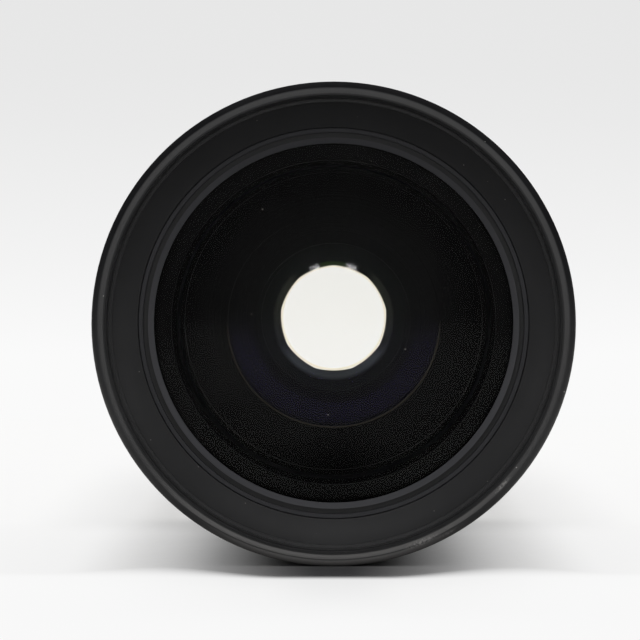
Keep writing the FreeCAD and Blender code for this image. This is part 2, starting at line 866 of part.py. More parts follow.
def guide_barrel():
    """Fixed tube whose straight slots keep the moving groups from turning."""
    body = start_body("guide_barrel")
    flange = tube_bore - size.seat_gap * 2
    flange_front = guide_back + size.guide_flange_thick
    revolve(body, "tube_and_flange", [
        (guide_bore, guide_back),
        (flange, guide_back),
        (flange, flange_front),
        (size.guide_radius, flange_front),
        (size.guide_radius, barrel_end),
        (guide_bore, barrel_end),
    ])
    hole = drill(body, "screw_hole", size.small_screw_radius + size.seat_gap, guide_screw_circle,
                 guide_back, size.guide_flange_thick - size.small_screw_radius / 2, 0, False)
    repeat(body, "screw_holes", [hole], FOLLOWERS)
    for name, angle, low, travel in slot_sets():
        slot = window(body, f"{name}_slot", stadium(slot_half, low, low + travel), angle, size.guide_radius * 2)
        repeat(body, f"{name}_slots", [slot], FOLLOWERS)
    slot_low = key_at - size.key_thick / 2 - size.button_gap
    slot_high = key_at + size.key_thick / 2 + size.button_gap
    groove(body, "key_slot", [
        (guide_bore - size.button_gap, slot_low),
        (size.guide_radius + size.ring_gap, slot_low),
        (size.guide_radius + size.ring_gap, slot_high),
        (guide_bore - size.button_gap, slot_high),
    ], KEY_ANGLE - KEY_SLOT_MARGIN, ZOOM_ANGLE + 2 * KEY_SLOT_MARGIN)


def slot_sets():
    return [
        ("front", FRONT_SLOT_ANGLE, front_follower, size.front_travel),
        ("variator", VARIATOR_SLOT_ANGLE, variator_follower, size.variator_travel),
        ("carrier", CARRIER_SLOT_ANGLE, carrier_follower, size.carrier_travel),
    ]


def guide_screws():
    head_back = size.shoulder_at - size.small_screw_radius + size.seat_gap
    end = guide_back + size.guide_flange_thick - size.small_screw_radius
    screw_set("guide_screws", FOLLOWERS, 0, size.small_head_radius, size.small_screw_radius, guide_screw_circle,
              head_back, end)


def main_board():
    """Ring-shaped circuit board on the shell's bosses."""
    low = floor_front + size.board_stand + size.seat_gap
    tube("main_board", size.board_bore, size.board_radius, low, low + size.board_thick)


def cam_barrel():
    """Turning tube inside the guide, whose sloping slots drive the groups along the axis."""
    body = start_body("cam_barrel")
    revolve(body, "tube", [
        (cam_bore, cam_back),
        (cam_radius, cam_back),
        (cam_radius, barrel_end),
        (cam_bore, barrel_end),
    ])
    middle = (cam_bore + cam_radius) / 2
    arc_length = middle * math.radians(ZOOM_ANGLE)
    for name, angle, low, travel in slot_sets():
        slope = travel / arc_length
        half = slot_half * root(length(1) + slope * slope)
        cutter = section(body, f"{name}_cam", [
            (cam_bore - size.ring_gap, low - half),
            (cam_radius + size.ring_gap, low - half),
            (cam_radius + size.ring_gap, low + half),
            (cam_bore - size.ring_gap, low + half),
        ], angle)
        helix = body.newObject("PartDesign::SubtractiveHelix", f"{name}_cam")
        helix.Profile = cutter
        helix.ReferenceAxis = (cutter, ["V_Axis"])
        helix.Mode = "pitch-height-angle"
        helix.LeftHanded = True
        set_formula(helix, "Pitch", travel * (360 / ZOOM_ANGLE))
        set_formula(helix, "Height", travel)
        near = round_window(body, f"{name}_cam_start", slot_half, low, angle, cam_radius * 2)
        far = round_window(body, f"{name}_cam_end", slot_half, low + travel, angle - ZOOM_ANGLE, cam_radius * 2)
        repeat(body, f"{name}_cams", [helix, near, far], FOLLOWERS)
    window(body, "key_notch", key_outline(size.seat_gap), KEY_ANGLE, cam_radius * 2)


def key_outline(gap):
    half = size.key_width / 2 + gap
    return rectangle(half, key_at - size.key_thick / 2 - gap, key_at + size.key_thick / 2 + gap)


def zoom_key():
    """Key from the zoom sleeve through both fixed tubes into the cam barrel."""
    body = start_body("zoom_key", KEY_ANGLE)
    low = key_at - size.key_thick / 2
    half = size.key_width / 2
    bottom = cam_bore + size.roller_short
    top = sleeve_radius - size.key_cover
    slab(body, "key", [(bottom, -half), (top, -half), (top, half), (bottom, half)], low, size.key_thick)


def zoom_sleeve():
    """Turning sleeve of the zoom ring, with the key's seat."""
    body = start_body("zoom_sleeve")
    revolve(body, "sleeve", [
        (sleeve_bore, zoom_start),
        (sleeve_radius, zoom_start),
        (sleeve_radius, zoom_end),
        (sleeve_bore, zoom_end),
    ])
    window(body, "key_seat", key_outline(size.seat_gap), KEY_ANGLE, sleeve_radius - size.key_cover + size.seat_gap)


def grip(name, ribs, thick, low, high):
    """Rubber grip with grooves between its ribs."""
    body = start_body(name)
    bore = sleeve_radius + size.seat_gap
    top = bore + thick
    revolve(body, f"{name}_band", [(bore, low), (top, low), (top, high), (bore, high)])
    half = size.rib_groove_width / 2
    floor = top - size.rib_groove_depth
    sketch = cross_sketch(body, f"{name}_groove_outline", low + size.grip_margin)
    draw_loop(sketch, [(floor, -half), (top + half, -half), (top + half, half), (floor, half)])
    cut = body.newObject("PartDesign::Pocket", f"{name}_groove")
    cut.Profile = sketch
    cut.Reversed = True
    set_formula(cut, "Length", high - low - size.grip_margin * 2)
    repeat(body, f"{name}_grooves", [cut], ribs)


def grips():
    grip("zoom_grip", GRIP_RIBS, size.zoom_grip_thick, zoom_start + size.scale_band, zoom_end - size.ring_gap)
    grip("focus_grip", FOCUS_RIBS, size.focus_grip_thick, focus_start + size.ring_gap, focus_end - size.ring_gap)


def focus_sleeve():
    tube("focus_sleeve", sleeve_bore, sleeve_radius, focus_start, focus_end)


def followers(name, angle, forward, wall_inner, wall_outer, roller_from, roller_to):
    """Rollers on shanks that stand radially in a tube's wall."""
    rollers = []
    for index in range(FOLLOWERS):
        turn = math.radians(angle + 360 / FOLLOWERS * index)
        out = Vector(math.cos(turn), math.sin(turn), 0)
        solids = []
        for radius, low, high in (
            (size.shank_radius, wall_inner, wall_outer),
            (size.roller_radius, roller_from, roller_to),
        ):
            foot = out * low.value
            foot.z = forward.value
            solids.append(Part.makeCylinder(radius.value, (high - low).value, foot, out))
        rollers.append(solids[0].fuse(solids[1]).removeSplitter())
    keep_shape(name, Part.makeCompound(rollers))


def front_tube():
    """Sliding tube that carries the front group out of the zoom ring."""
    body = start_body("front_tube")
    tube_front = front_at - size.bezel_floor - size.ledge_thick - size.seat_gap
    revolve(body, "tube", [
        (tube_bore, tube_back),
        (size.tube_radius, tube_back),
        (size.tube_radius, tube_front),
        (tube_bore, tube_front),
    ])
    hole = round_window(body, "shank_hole", size.shank_radius + size.seat_gap, front_follower,
                        FRONT_SLOT_ANGLE, size.tube_radius * 2)
    repeat(body, "shank_holes", [hole], FOLLOWERS)
    followers("front_followers", FRONT_SLOT_ANGLE, front_follower, tube_bore, size.tube_radius,
              cam_bore + size.roller_short, tube_bore - size.seat_gap)


def filter_ring():
    """Front rim with the filter thread's bore inside and the hood bayonet outside."""
    body = start_body("filter_ring")
    bezel_seat = size.filter_radius - size.bezel_step
    groove_front = front_at - size.rim_band
    groove_back = groove_front - size.hood_groove_width
    inner = size.tube_radius + size.seat_gap
    ledge_back = front_at - size.bezel_floor - size.ledge_thick
    revolve(body, "rim", [
        (bezel_seat, front_at - size.thread_floor),
        (size.filter_radius, front_at - size.thread_floor),
        (size.filter_radius, front_at - size.filter_chamfer),
        (size.filter_radius + size.filter_chamfer, front_at),
        (size.rim_radius - size.rim_round, front_at),
        (size.rim_radius, front_at - size.rim_round, size.rim_round, "right"),
        (size.rim_radius, groove_front),
        (size.hood_groove_radius, groove_front),
        (size.hood_groove_radius, groove_back),
        (size.rim_lip, groove_back),
        (size.rim_lip, rim_back),
        (inner, rim_back),
        (inner, ledge_back),
        (size.ledge_bore, ledge_back),
        (size.ledge_bore, front_at - size.bezel_floor),
        (bezel_seat, front_at - size.bezel_floor),
    ])
    notch = groove(body, "hood_notch", [
        (size.hood_groove_radius, groove_front - size.seat_gap),
        (size.rim_radius + size.ring_gap, groove_front - size.seat_gap),
        (size.rim_radius + size.ring_gap, groove_front + size.rim_round),
        (size.hood_groove_radius, groove_front + size.rim_round),
    ], -HOOD_NOTCH_SWEEP / 2, HOOD_NOTCH_SWEEP)
    repeat(body, "hood_notches", [notch], HOOD_LUGS)


def front_bezel():
    """Smooth dished ring between the thread and the glass."""
    radius = size.filter_radius - size.bezel_step - size.seat_gap
    top = front_at - size.thread_floor - size.seat_gap * 2
    floor = front_at - size.bezel_floor + size.seat_gap
    back = front_at - size.bezel_floor - size.ledge_thick
    foot = size.ledge_bore - size.seat_gap * 2
    turned("front_bezel", [
        (size.bezel_bore, back),
        (foot, back),
        (foot, floor),
        (radius, floor),
        (radius, top),
        (size.bezel_bore, front_at - size.bezel_inner_depth, size.bezel_curve, "right"),
    ])


def front_cell():
    """Stepped cell that holds the three elements of the front group."""
    collar_front = front_at - size.cell_collar_depth
    flange_front = front_at - size.bezel_floor - size.ledge_thick - size.seat_gap * 2
    flange_back = front_at - size.cell_step_depth
    step_back = barrel_end + size.running_gap * 2
    front_bore = size.front_glass + size.seat_gap
    front_seat = front_at - size.front_edge_depth
    second_bore = size.second_glass + size.seat_gap
    third_bore = size.third_glass + size.seat_gap
    first_shoulder = front_element_back() - size.seat_gap
    second_shoulder = second_element_back() - size.seat_gap * 3
    turned("front_cell", [
        (third_bore - size.cell_lip, cell_back),
        (group_radius, cell_back),
        (group_radius, step_back),
        (size.cell_body, step_back),
        (size.cell_body, flange_back),
        (tube_bore - size.seat_gap * 2, flange_back),
        (tube_bore - size.seat_gap * 2, flange_front),
        (size.cell_collar, flange_front),
        (size.cell_collar, collar_front),
        (size.retainer_radius, collar_front),
        (size.retainer_radius, front_seat),
        (front_bore, front_seat),
        (front_bore, first_shoulder),
        (second_bore, first_shoulder),
        (second_bore, second_shoulder),
        (third_bore, second_shoulder),
        (third_bore, cell_back + size.cell_lip),
        (third_bore - size.cell_lip, cell_back + size.cell_lip),
    ])


def front_element_back():
    """Where the flat rear edge of the front element lies."""
    vertex = front_at - size.front_vertex - size.front_thick
    return vertex - sagitta(size.cement_curve, size.second_glass)


def second_element_back():
    return second_vertex - size.second_thick + sagitta(size.second_curve, size.second_glass)


def front_retainer():
    """Threaded ring with a bright lip that holds the front glass."""
    radius = size.retainer_radius - size.seat_gap
    seat = front_at - size.front_vertex - sagitta(size.front_curve, size.glass_clear)
    lip_top = front_at - size.cell_collar_depth
    step = lip_top - size.retainer_drop
    turned("front_retainer", [
        (size.glass_clear, seat + size.seat_gap),
        (radius, seat + size.seat_gap),
        (radius, step),
        (size.lip_radius, step),
        (size.lip_radius, lip_top),
        (size.glass_clear, lip_top - size.lip_slope),
    ])


def front_glass():
    front = front_at - size.front_vertex
    lens_element("front_element", size.front_glass, front - size.front_thick, -size.cement_curve,
                 front, size.front_curve, back_clear=size.second_glass, front_clear=size.glass_clear)
    lens_element("second_element", size.second_glass, second_vertex - size.second_thick, size.second_curve,
                 second_vertex, size.cement_curve)
    lens_element("third_element", size.third_glass, third_vertex - size.third_thick, -size.third_back_curve,
                 third_vertex, size.third_curve)


def variator_cell():
    """Cell of the variator: a ring in the cam barrel, a web and an inner ring round the glass."""
    body = start_body("variator_cell")
    web_back = variator_back + size.variator_length / 2 - size.web_thick / 2
    web_front = web_back + size.web_thick
    inner_front = variator_front - size.seat_gap
    revolve(body, "cell", [
        (size.variator_bore, variator_back + size.ring_gap),
        (size.variator_ring, variator_back + size.ring_gap),
        (size.variator_ring, web_back),
        (group_bore, web_back),
        (group_bore, variator_back),
        (group_radius, variator_back),
        (group_radius, variator_front),
        (group_bore, variator_front),
        (group_bore, web_front),
        (size.variator_ring, web_front),
        (size.variator_ring, inner_front),
        (size.variator_opening, inner_front),
        (size.variator_opening, inner_front - size.cell_lip),
        (size.variator_bore, inner_front - size.cell_lip),
    ])
    group_followers(body, "variator_followers", VARIATOR_SLOT_ANGLE, variator_follower)


def group_followers(body, name, angle, forward):
    """Rollers of a group that stand out of its cell, through the cam, into the guide."""
    hole = round_window(body, "shank_hole", size.shank_radius + size.seat_gap, forward, angle, group_radius * 2)
    repeat(body, "shank_holes", [hole], FOLLOWERS)
    followers(name, angle, forward, group_bore, group_radius + size.seat_gap,
              group_radius + size.seat_gap, size.guide_radius - size.roller_short / 2)


def variator_glass():
    radius = size.variator_bore - size.seat_gap
    front_edge = variator_front - size.cell_lip - size.seat_gap * 2
    front = front_edge - sagitta(size.variator_curve, radius)
    back = front - size.variator_thick
    lens_element("variator_element", radius, back, -size.variator_back_curve, front, -size.variator_curve,
                 back_clear=radius * 0.75)
    rear_front = back - size.cement_gap * 4
    rear_radius = radius * 0.7
    lens_element("variator_rear_element", rear_radius, rear_front - size.variator_rear_thick, size.variator_curve,
                 rear_front, size.variator_rear_curve)


def carrier_frame():
    """Frame of the rear moving group: outer tube, web, and the relay lens's inner tube."""
    body = start_body("carrier_frame")
    web_front = iris_base_back() - size.seat_gap
    web_back = web_front - size.web_thick
    relay_back = web_front - size.relay_length
    relay_outer = size.relay_bore + size.relay_wall
    revolve(body, "frame", [
        (size.relay_bore, relay_back),
        (relay_outer, relay_back),
        (relay_outer, web_back),
        (group_bore, web_back),
        (group_bore, carrier_back),
        (group_radius, carrier_back),
        (group_radius, carrier_front - size.cover_thick - size.seat_gap),
        (group_bore, carrier_front - size.cover_thick - size.seat_gap),
        (group_bore, web_front),
        (size.relay_bore, web_front),
    ])
    window_low = carrier_back + size.plate_thick + size.ring_gap
    opening = window(body, "side_window", rectangle(size.window_width / 2, window_low,
                                                    window_low + size.window_length),
                     WINDOW_ANGLE, group_radius * 2)
    repeat(body, "side_windows", [opening], FOLLOWERS)
    rod_hole = drill(body, "rod_hole", size.rod_radius + size.seat_gap, size.rod_circle, web_front,
                     size.web_thick * 1.5)
    repeat(body, "rod_holes", [rod_hole], 2)
    drill(body, "motor_hole", size.motor_radius + size.button_gap, gear_distance(), web_front,
          size.web_thick * 1.5, MOTOR_ANGLE)
    group_followers(body, "carrier_followers", CARRIER_SLOT_ANGLE, carrier_follower)


def carrier_plate():
    """Rear plate of the carrier that holds the far ends of the guide rods."""
    body = start_body("carrier_plate")
    radius = group_bore - size.seat_gap
    front = carrier_back + size.plate_thick
    revolve(body, "plate", [
        (size.plate_bore, carrier_back),
        (radius, carrier_back),
        (radius, front),
        (size.plate_bore, front),
    ])
    hole = drill(body, "rod_hole", size.rod_radius + size.seat_gap, size.rod_circle, front, size.plate_thick * 2)
    repeat(body, "rod_holes", [hole], 2)


def iris_ring_front():
    return carrier_front - size.cover_thick - size.ring_space


def iris_blade_front(layer):
    """Front face of a blade. Each blade lies in a layer of its own."""
    stack_front = iris_ring_front() - size.ring_thick - size.blade_room
    return stack_front - (size.blade_thick + size.blade_space) * layer


def iris_base_front():
    return iris_blade_front(BLADES - 1) - size.blade_thick - size.ring_space


def iris_base_back():
    return iris_base_front() - size.base_thick


def gear_distance():
    """Distance of the pinion from the optical axis."""
    return size.gear_module * ((RING_TEETH + PINION_TEETH) / 2)


def iris_base():
    """Cup that carries the blades' pivots."""
    body = start_body("iris_base")
    radius = group_bore - size.seat_gap * 2
    rim_bore = radius - size.base_rim
    revolve(body, "cup", [
        (size.collar_bore, iris_base_back()),
        (radius, iris_base_back()),
        (radius, carrier_front - size.cover_thick - size.seat_gap),
        (rim_bore, carrier_front - size.cover_thick - size.seat_gap),
        (rim_bore, iris_base_front()),
        (size.collar_bore, iris_base_front()),
    ])
    hole = drill(body, "pivot_hole", size.blade_pin + size.pin_gap, size.pivot_radius, iris_base_front(),
                 size.base_thick * 2, BLADE_FIRST_TURN)
    repeat(body, "pivot_holes", [hole], BLADES)
    drill(body, "shaft_hole", size.blade_pin + size.pin_gap * 2, gear_distance(), iris_base_front(),
          size.base_thick * 2, MOTOR_ANGLE)
    for name, circle, count, radius in (("rod_relief", size.rod_circle, 2, size.rod_radius + size.seat_gap),):
        relief = drill(body, name, radius, circle, iris_base_back(), size.ring_space * 2, 0, False)
        repeat(body, f"{name}s", [relief], count)


def iris_cover():
    """Front plate of the iris, with the collar that centres its drive ring."""
    back = carrier_front - size.cover_thick
    collar_back = back - size.collar_length
    turned("iris_cover", [
        (size.collar_bore, collar_back),
        (size.collar_bore + size.collar_wall, collar_back),
        (size.collar_bore + size.collar_wall, back),
        (group_bore - size.seat_gap, back),
        (group_bore - size.seat_gap, carrier_front),
        (size.collar_bore, carrier_front),
    ])


def blade_angle(opening):
    """How far a blade turns from wide open to leave the given opening radius."""
    shift = size.iris_bore.value - opening.value
    return math.degrees(2 * math.asin(shift / (2 * size.pivot_radius.value)))


REST_BLADE_ANGLE = blade_angle(size.rest_opening)
FULL_BLADE_ANGLE = blade_angle(size.least_opening)
BLADE_FIRST_TURN = 110.0 - 90.0 - REST_BLADE_ANGLE / 2


def polar(radius, angle, forward=0.0):
    return Vector(radius * math.cos(math.radians(angle)), radius * math.sin(math.radians(angle)), forward)


def drive_pin_place(blade_turn):
    """Drive pin's centre, in a frame where the blade's pivot lies on the X axis."""
    pivot = Vector(size.pivot_radius.value, 0, 0)
    arm = Vector(0, -size.drive_offset.value, 0)
    return pivot + Rotation(FORWARD, blade_turn).multVec(arm)


def iris_blades():
    """Nine thin steel blades, drawn wide open and turned to the rest opening about their pivots."""
    pivot = Vector(size.pivot_radius.value, 0, 0)
    swing = Placement(ORIGIN, Rotation(FORWARD, REST_BLADE_ANGLE), pivot)
    for layer in range(BLADES):
        name = f"iris_blade_{layer + 1}"
        turn = BLADE_FIRST_TURN + 360 / BLADES * layer
        body = start_body(name)
        body.Placement = LAID_DOWN * Placement(ORIGIN, Rotation(FORWARD, turn)) * swing
        front = iris_blade_front(layer)
        back = front - size.blade_thick
        outer = size.iris_bore + size.blade_width
        start = math.radians(BLADE_START)
        end = math.radians(BLADE_END)
        crescent(body, back, outer, start, end)
        tab_inner = size.pivot_radius - size.blade_pin * 4
        tab_outer = size.pivot_radius + size.blade_pin * 2
        tab_end = size.blade_pin * 2
        slab(body, "tab", [
            (tab_inner, -size.drive_offset - tab_end),
            (tab_outer, -size.drive_offset - tab_end),
            (tab_outer, tab_end),
            (tab_inner, tab_end),
        ], back, size.blade_thick)
        pivot_back = iris_base_back() + size.seat_gap * 4
        post(body, "pivot_pin", size.blade_pin, size.pivot_radius, pivot_back, back - pivot_back)
        drive_front = iris_ring_front() - size.seat_gap
        sketch = cross_sketch(body, "drive_pin_circle", front)
        draw_circle(sketch, size.pivot_radius, -size.drive_offset, size.blade_pin)
        pad(body, "drive_pin", sketch, drive_front - front)


def crescent(body, back, outer, start, end):
    """The blade's curved band, between two arcs about the optical axis when wide open."""
    inner = size.iris_bore
    return slab(body, "crescent", [
        (inner * math.cos(start), inner * math.sin(start), inner, "right"),
        (outer * math.cos(start), outer * math.sin(start)),
        (outer * math.cos(end), outer * math.sin(end), outer, "left"),
        (inner * math.cos(end), inner * math.sin(end)),
    ], back, size.blade_thick)


def involute_point(base, turn):
    """A point of the involute of a circle, unrolled by turn radians."""
    radius = base * math.sqrt(1 + turn**2)
    return radius, turn - math.atan(turn)


def tooth_face(teeth, centre_angle, clearance_at_root):
    """Outline of one involute tooth as a face, with its foot sunk a little into the blank."""
    module = size.gear_module.value
    pitch = module * teeth / 2
    base = pitch * math.cos(math.radians(PRESSURE_ANGLE))
    tip = pitch + module
    foot = pitch - module * 1.25 - clearance_at_root
    half_thick = (math.pi * module / 2 - size.gear_backlash.value) / 2 / pitch
    pitch_turn = math.tan(math.radians(PRESSURE_ANGLE))
    pitch_angle = involute_point(base, pitch_turn)[1]
    tip_turn = math.sqrt((tip / base) ** 2 - 1)
    low_turn = math.sqrt(max((foot / base) ** 2 - 1, 0.0))
    flank = []
    for share in (0.0, 0.5, 1.0):
        radius, angle = involute_point(base, low_turn + (tip_turn - low_turn) * share)
        flank.append((radius, half_thick + pitch_angle - angle))
    centre = math.radians(centre_angle)
    right = [Vector(r * math.cos(centre - a), r * math.sin(centre - a), 0) for r, a in flank]
    left = [Vector(r * math.cos(centre + a), r * math.sin(centre + a), 0) for r, a in flank]
    foot_half = flank[0][1]
    right_foot = Vector(foot * math.cos(centre - foot_half), foot * math.sin(centre - foot_half), 0)
    left_foot = Vector(foot * math.cos(centre + foot_half), foot * math.sin(centre + foot_half), 0)
    edges = []
    if right_foot.distanceToPoint(right[0]) > 1e-6:
        edges.append(Part.makeLine(right_foot, right[0]))
    edges.append(Part.Arc(*right).toShape())
    edges.append(Part.makeLine(right[2], left[2]))
    edges.append(Part.Arc(*reversed(left)).toShape())
    if left_foot.distanceToPoint(left[0]) > 1e-6:
        edges.append(Part.makeLine(left[0], left_foot))
    edges.append(Part.makeLine(left_foot, right_foot))
    return Part.Face(Part.Wire(edges))


def iris_ring():
    """Drive ring with a curved slot for each blade's pin and a toothed sector for the motor."""
    back = (iris_ring_front() - size.ring_thick).value
    bore = size.collar_bore + size.collar_wall + size.seat_gap
    ring = Part.makeCylinder(size.ring_radius.value, size.ring_thick.value)
    gear_step = 360 / RING_TEETH
    sunk = 0.2
    for index in range(SECTOR_TEETH):
        angle = MOTOR_ANGLE + gear_step * (index + 0.5 - SECTOR_TEETH / 2) + SECTOR_LEAD
        tooth = tooth_face(RING_TEETH, angle, sunk).extrude(Vector(0, 0, size.ring_thick.value))
        ring = ring.fuse(tooth)
    root_radius = size.gear_module.value * (RING_TEETH / 2 - 1.25)
    wedge = Part.makeCylinder(root_radius, size.ring_thick.value, ORIGIN, FORWARD,
                              gear_step * (SECTOR_TEETH + 1))
    wedge.rotate(ORIGIN, FORWARD, MOTOR_ANGLE + SECTOR_LEAD - gear_step * (SECTOR_TEETH + 1) / 2)
    ring = ring.fuse(wedge).removeSplitter()
    ring = ring.cut(Part.makeCylinder(bore.value, size.ring_thick.value))
    ring = ring.cut(Part.makeCompound(drive_slots()))
    keep_shape("iris_ring", ring, LAID_DOWN * Placement(Vector(0, 0, back), Rotation()))


SECTOR_LEAD = (FULL_BLADE_ANGLE / 2 - REST_BLADE_ANGLE) / BLADE_PER_RING * -1


def drive_slots():
    """Slots of the drive ring: each follows its pin while ring and blade turn at their fixed ratio."""
    half = (size.blade_pin + size.slot_gap).value
    slots = []
    for layer in range(BLADES):
        turn = BLADE_FIRST_TURN + 360 / BLADES * layer
        centres = []
        for share in (0.0, 0.5, 1.0):
            blade_turn = FULL_BLADE_ANGLE * share
            ring_turn = (blade_turn - REST_BLADE_ANGLE) / BLADE_PER_RING
            centres.append(Rotation(FORWARD, turn - ring_turn).multVec(drive_pin_place(blade_turn)))
        path = Part.Arc(*centres).toShape().Curve
        middle = path.Center
        radius = path.Radius
        inner = [middle + (point - middle) * ((radius - half) / radius) for point in centres]
        outer = [middle + (point - middle) * ((radius + half) / radius) for point in centres]
        tall = Vector(0, 0, size.ring_thick.value)
        band = Part.Face(Part.Wire([
            Part.Arc(*inner).toShape(),
            Part.makeLine(inner[2], outer[2]),
            Part.Arc(*reversed(outer)).toShape(),
            Part.makeLine(outer[0], inner[0]),
        ])).extrude(tall)
        ends = [Part.makeCylinder(half, tall.z, centre) for centre in (centres[0], centres[2])]
        slots.append(band.fuse(ends).removeSplitter())
    return slots


def iris_pinion():
    """Pinion on the shaft of the iris motor, in mesh with the ring's sector."""
    thick = size.ring_thick.value
    module = size.gear_module.value
    root_radius = module * (PINION_TEETH / 2 - 1.25)
    gear = Part.makeCylinder(root_radius, thick)
    # A space of the sector faces the pinion at rest, or a tooth of it, so the pinion is turned to suit.
    sector_phase = (SECTOR_TEETH / 2 - 0.5 - SECTOR_LEAD / (360 / RING_TEETH)) % 1.0
    step = 360 / PINION_TEETH
    first = 180 + step * (0.5 + sector_phase)
    for index in range(PINION_TEETH):
        gear = gear.fuse(tooth_face(PINION_TEETH, first + step * index, 0.1).extrude(Vector(0, 0, thick)))
    gear = gear.removeSplitter()
    reach = iris_base_back() - (iris_ring_front() - size.ring_thick) - size.motor_radius
    shaft = Part.makeCylinder(size.blade_pin.value, thick - reach.value, Vector(0, 0, reach.value))
    gear = gear.fuse(shaft).removeSplitter()
    place = polar(gear_distance().value, MOTOR_ANGLE, (iris_ring_front() - size.ring_thick).value)
    keep_shape("iris_pinion", gear, LAID_DOWN * Placement(place, Rotation(FORWARD, MOTOR_ANGLE)))


def iris_motor():
    """Small stepping motor behind the iris base."""
    front = iris_base_back() - size.seat_gap
    can = Part.makeCylinder(size.motor_radius.value, size.motor_length.value, Vector(0, 0, -size.motor_length.value))
    shaft_room = Part.makeCylinder((size.blade_pin + size.pin_gap).value, (size.motor_radius + size.seat_gap).value,
                                   Vector(0, 0, -(size.motor_radius + size.seat_gap).value))
    place = polar(gear_distance().value, MOTOR_ANGLE, front.value)
    keep_shape("iris_motor", can.cut(shaft_room), LAID_DOWN * Placement(place, Rotation()))


def relay_glass():
    radius = size.relay_bore - size.seat_gap
    front = iris_base_back() - size.seat_gap * 6
    thick = size.relay_length * 0.42
    curve = size.relay_bore * 2.4
    lens_element("relay_element", radius, front - thick, size.third_back_curve, front, curve)
    rear_front = front - thick - size.cement_gap * 4
    lens_element("relay_rear_element", radius, rear_front - thick, curve, rear_front, size.third_back_curve)


def guide_rods():
    """Two polished rods that the focus group slides on."""
    back = carrier_back + size.seat_gap
    front = iris_base_back() - size.seat_gap
    rods = []
    for angle in (0, 180):
        foot = polar(size.rod_circle.value, angle, back.value)
        rods.append(Part.makeCylinder(size.rod_radius.value, (front - back).value, foot))
    keep_shape("guide_rods", Part.makeCompound(rods))


def focus_back():
    return carrier_front - size.focus_inset - size.focus_length


def focus_cell():
    """Cell of the focus element, with a boss on each guide rod and an arm to each coil."""
    body = start_body("focus_cell")
    bore = size.focus_glass + size.seat_gap
    radius = bore + size.focus_cell_wall
    back = focus_back()
    front = back + size.focus_length
    revolve(body, "ring", [
        (bore, back),
        (radius, back),
        (radius, front - size.cell_lip),
        (radius, front),
        (bore - size.cell_lip, front),
        (bore - size.cell_lip, front - size.cell_lip),
        (bore, front - size.cell_lip),
    ])
    half = size.arm_width / 2
    inside = radius - size.cell_lip
    third = size.focus_length / 3
    arm = slab(body, "rod_arm", [
        (inside, -half), (size.rod_circle - size.rod_radius, -half),
        (size.rod_circle - size.rod_radius, half), (inside, half),
    ], back + third, third)
    boss = post(body, "rod_boss", size.boss_radius, size.rod_circle, back, size.focus_length)
    repeat(body, "rod_arms", [arm, boss], 2)
    bore_cut = drill(body, "rod_bore", size.rod_radius + size.pin_gap, size.rod_circle, front, size.focus_length * 2)
    repeat(body, "rod_bores", [bore_cut], 2)
    reach = size.bar_inner - size.coil_gap - size.coil_wall - size.seat_gap
    coil_arm = slab(body, "coil_arm", [
        (inside, -half), (reach, -half), (reach, half), (inside, half),
    ], back + third, third, 90)
    repeat(body, "coil_arms", [coil_arm], 2)


def focus_glass():
    back = focus_back() + size.cell_lip * 2
    lens_element("focus_element", size.focus_glass, back, size.third_curve, back + size.focus_cell_wall,
                 -size.third_back_curve)


def box(inner, outer, width, low, high):
    """A block on the X axis, from one radius to another, centred across it."""
    return Part.makeBox((outer - inner).value, width.value, (high - low).value,
                        Vector(inner.value, -width.value / 2, low.value))


def both_sides(name, shape):
    """The same piece above and below the glass."""
    pieces = []
    for angle in (90, 270):
        piece = shape.copy()
        piece.rotate(ORIGIN, FORWARD, angle)
        pieces.append(piece)
    keep_shape(name, Part.makeCompound(pieces))


def focus_motors():
    """Linear motors of the focus group: fixed yokes and magnets, and a coil round each yoke's bar."""
    low = carrier_back + size.plate_thick + size.seat_gap
    high = iris_base_back() - size.seat_gap * 2 - size.web_thick
    bar_outer = size.bar_inner + size.bar_thick
    plate_inner = size.yoke_outer - size.bar_thick
    frame = box(size.bar_inner, size.yoke_outer, size.yoke_width, low, high)
    room = box(bar_outer, plate_inner, size.yoke_width * 2, low + size.bar_thick, high - size.bar_thick)
    both_sides("motor_yokes", frame.cut(room))
    both_sides("motor_magnets", box(plate_inner - size.magnet_thick, plate_inner - size.seat_gap / 2,
                                    size.yoke_width, low + size.bar_thick * 2, high - size.bar_thick * 2))
    hole_inner = size.bar_inner - size.coil_gap
    hole_outer = bar_outer + size.coil_gap
    hole_width = size.yoke_width + size.coil_gap * 2
    back = focus_back()
    front = back + size.focus_length
    coil = box(hole_inner - size.coil_wall, hole_outer + size.coil_wall, hole_width + size.coil_wall * 2, back, front)
    coil = coil.cut(box(hole_inner, hole_outer, hole_width, back, front))
    both_sides("focus_coils", coil)


def rear_group():
    """Fixed rear cell with its two elements."""
    bore = size.rear_glass + size.seat_gap
    radius = bore + size.rear_cell_wall
    back = size.baffle_disc - size.baffle_wall + size.seat_gap
    front = back + size.rear_cell_length
    flange_back = floor_front + size.seat_gap
    flange_front = flange_back + size.rear_flange_thick
    turned("rear_cell", [
        (bore, back),
        (radius, back),
        (radius, flange_back),
        (size.rear_cell_flange, flange_back),
        (size.rear_cell_flange, flange_front),
        (radius, flange_front),
        (radius, front),
        (bore, front),
    ])
    vertex = -size.rear_vertex
    curve = size.rear_glass * 3
    thick = size.rear_cell_length * 0.48
    lens_element("rear_element", size.rear_glass, vertex, curve, vertex + thick, size.third_curve)
    inner_back = vertex + thick + size.cement_gap * 6
    lens_element("rear_inner_element", size.rear_glass, inner_back, size.third_curve * 2,
                 inner_back + thick, size.third_back_curve)


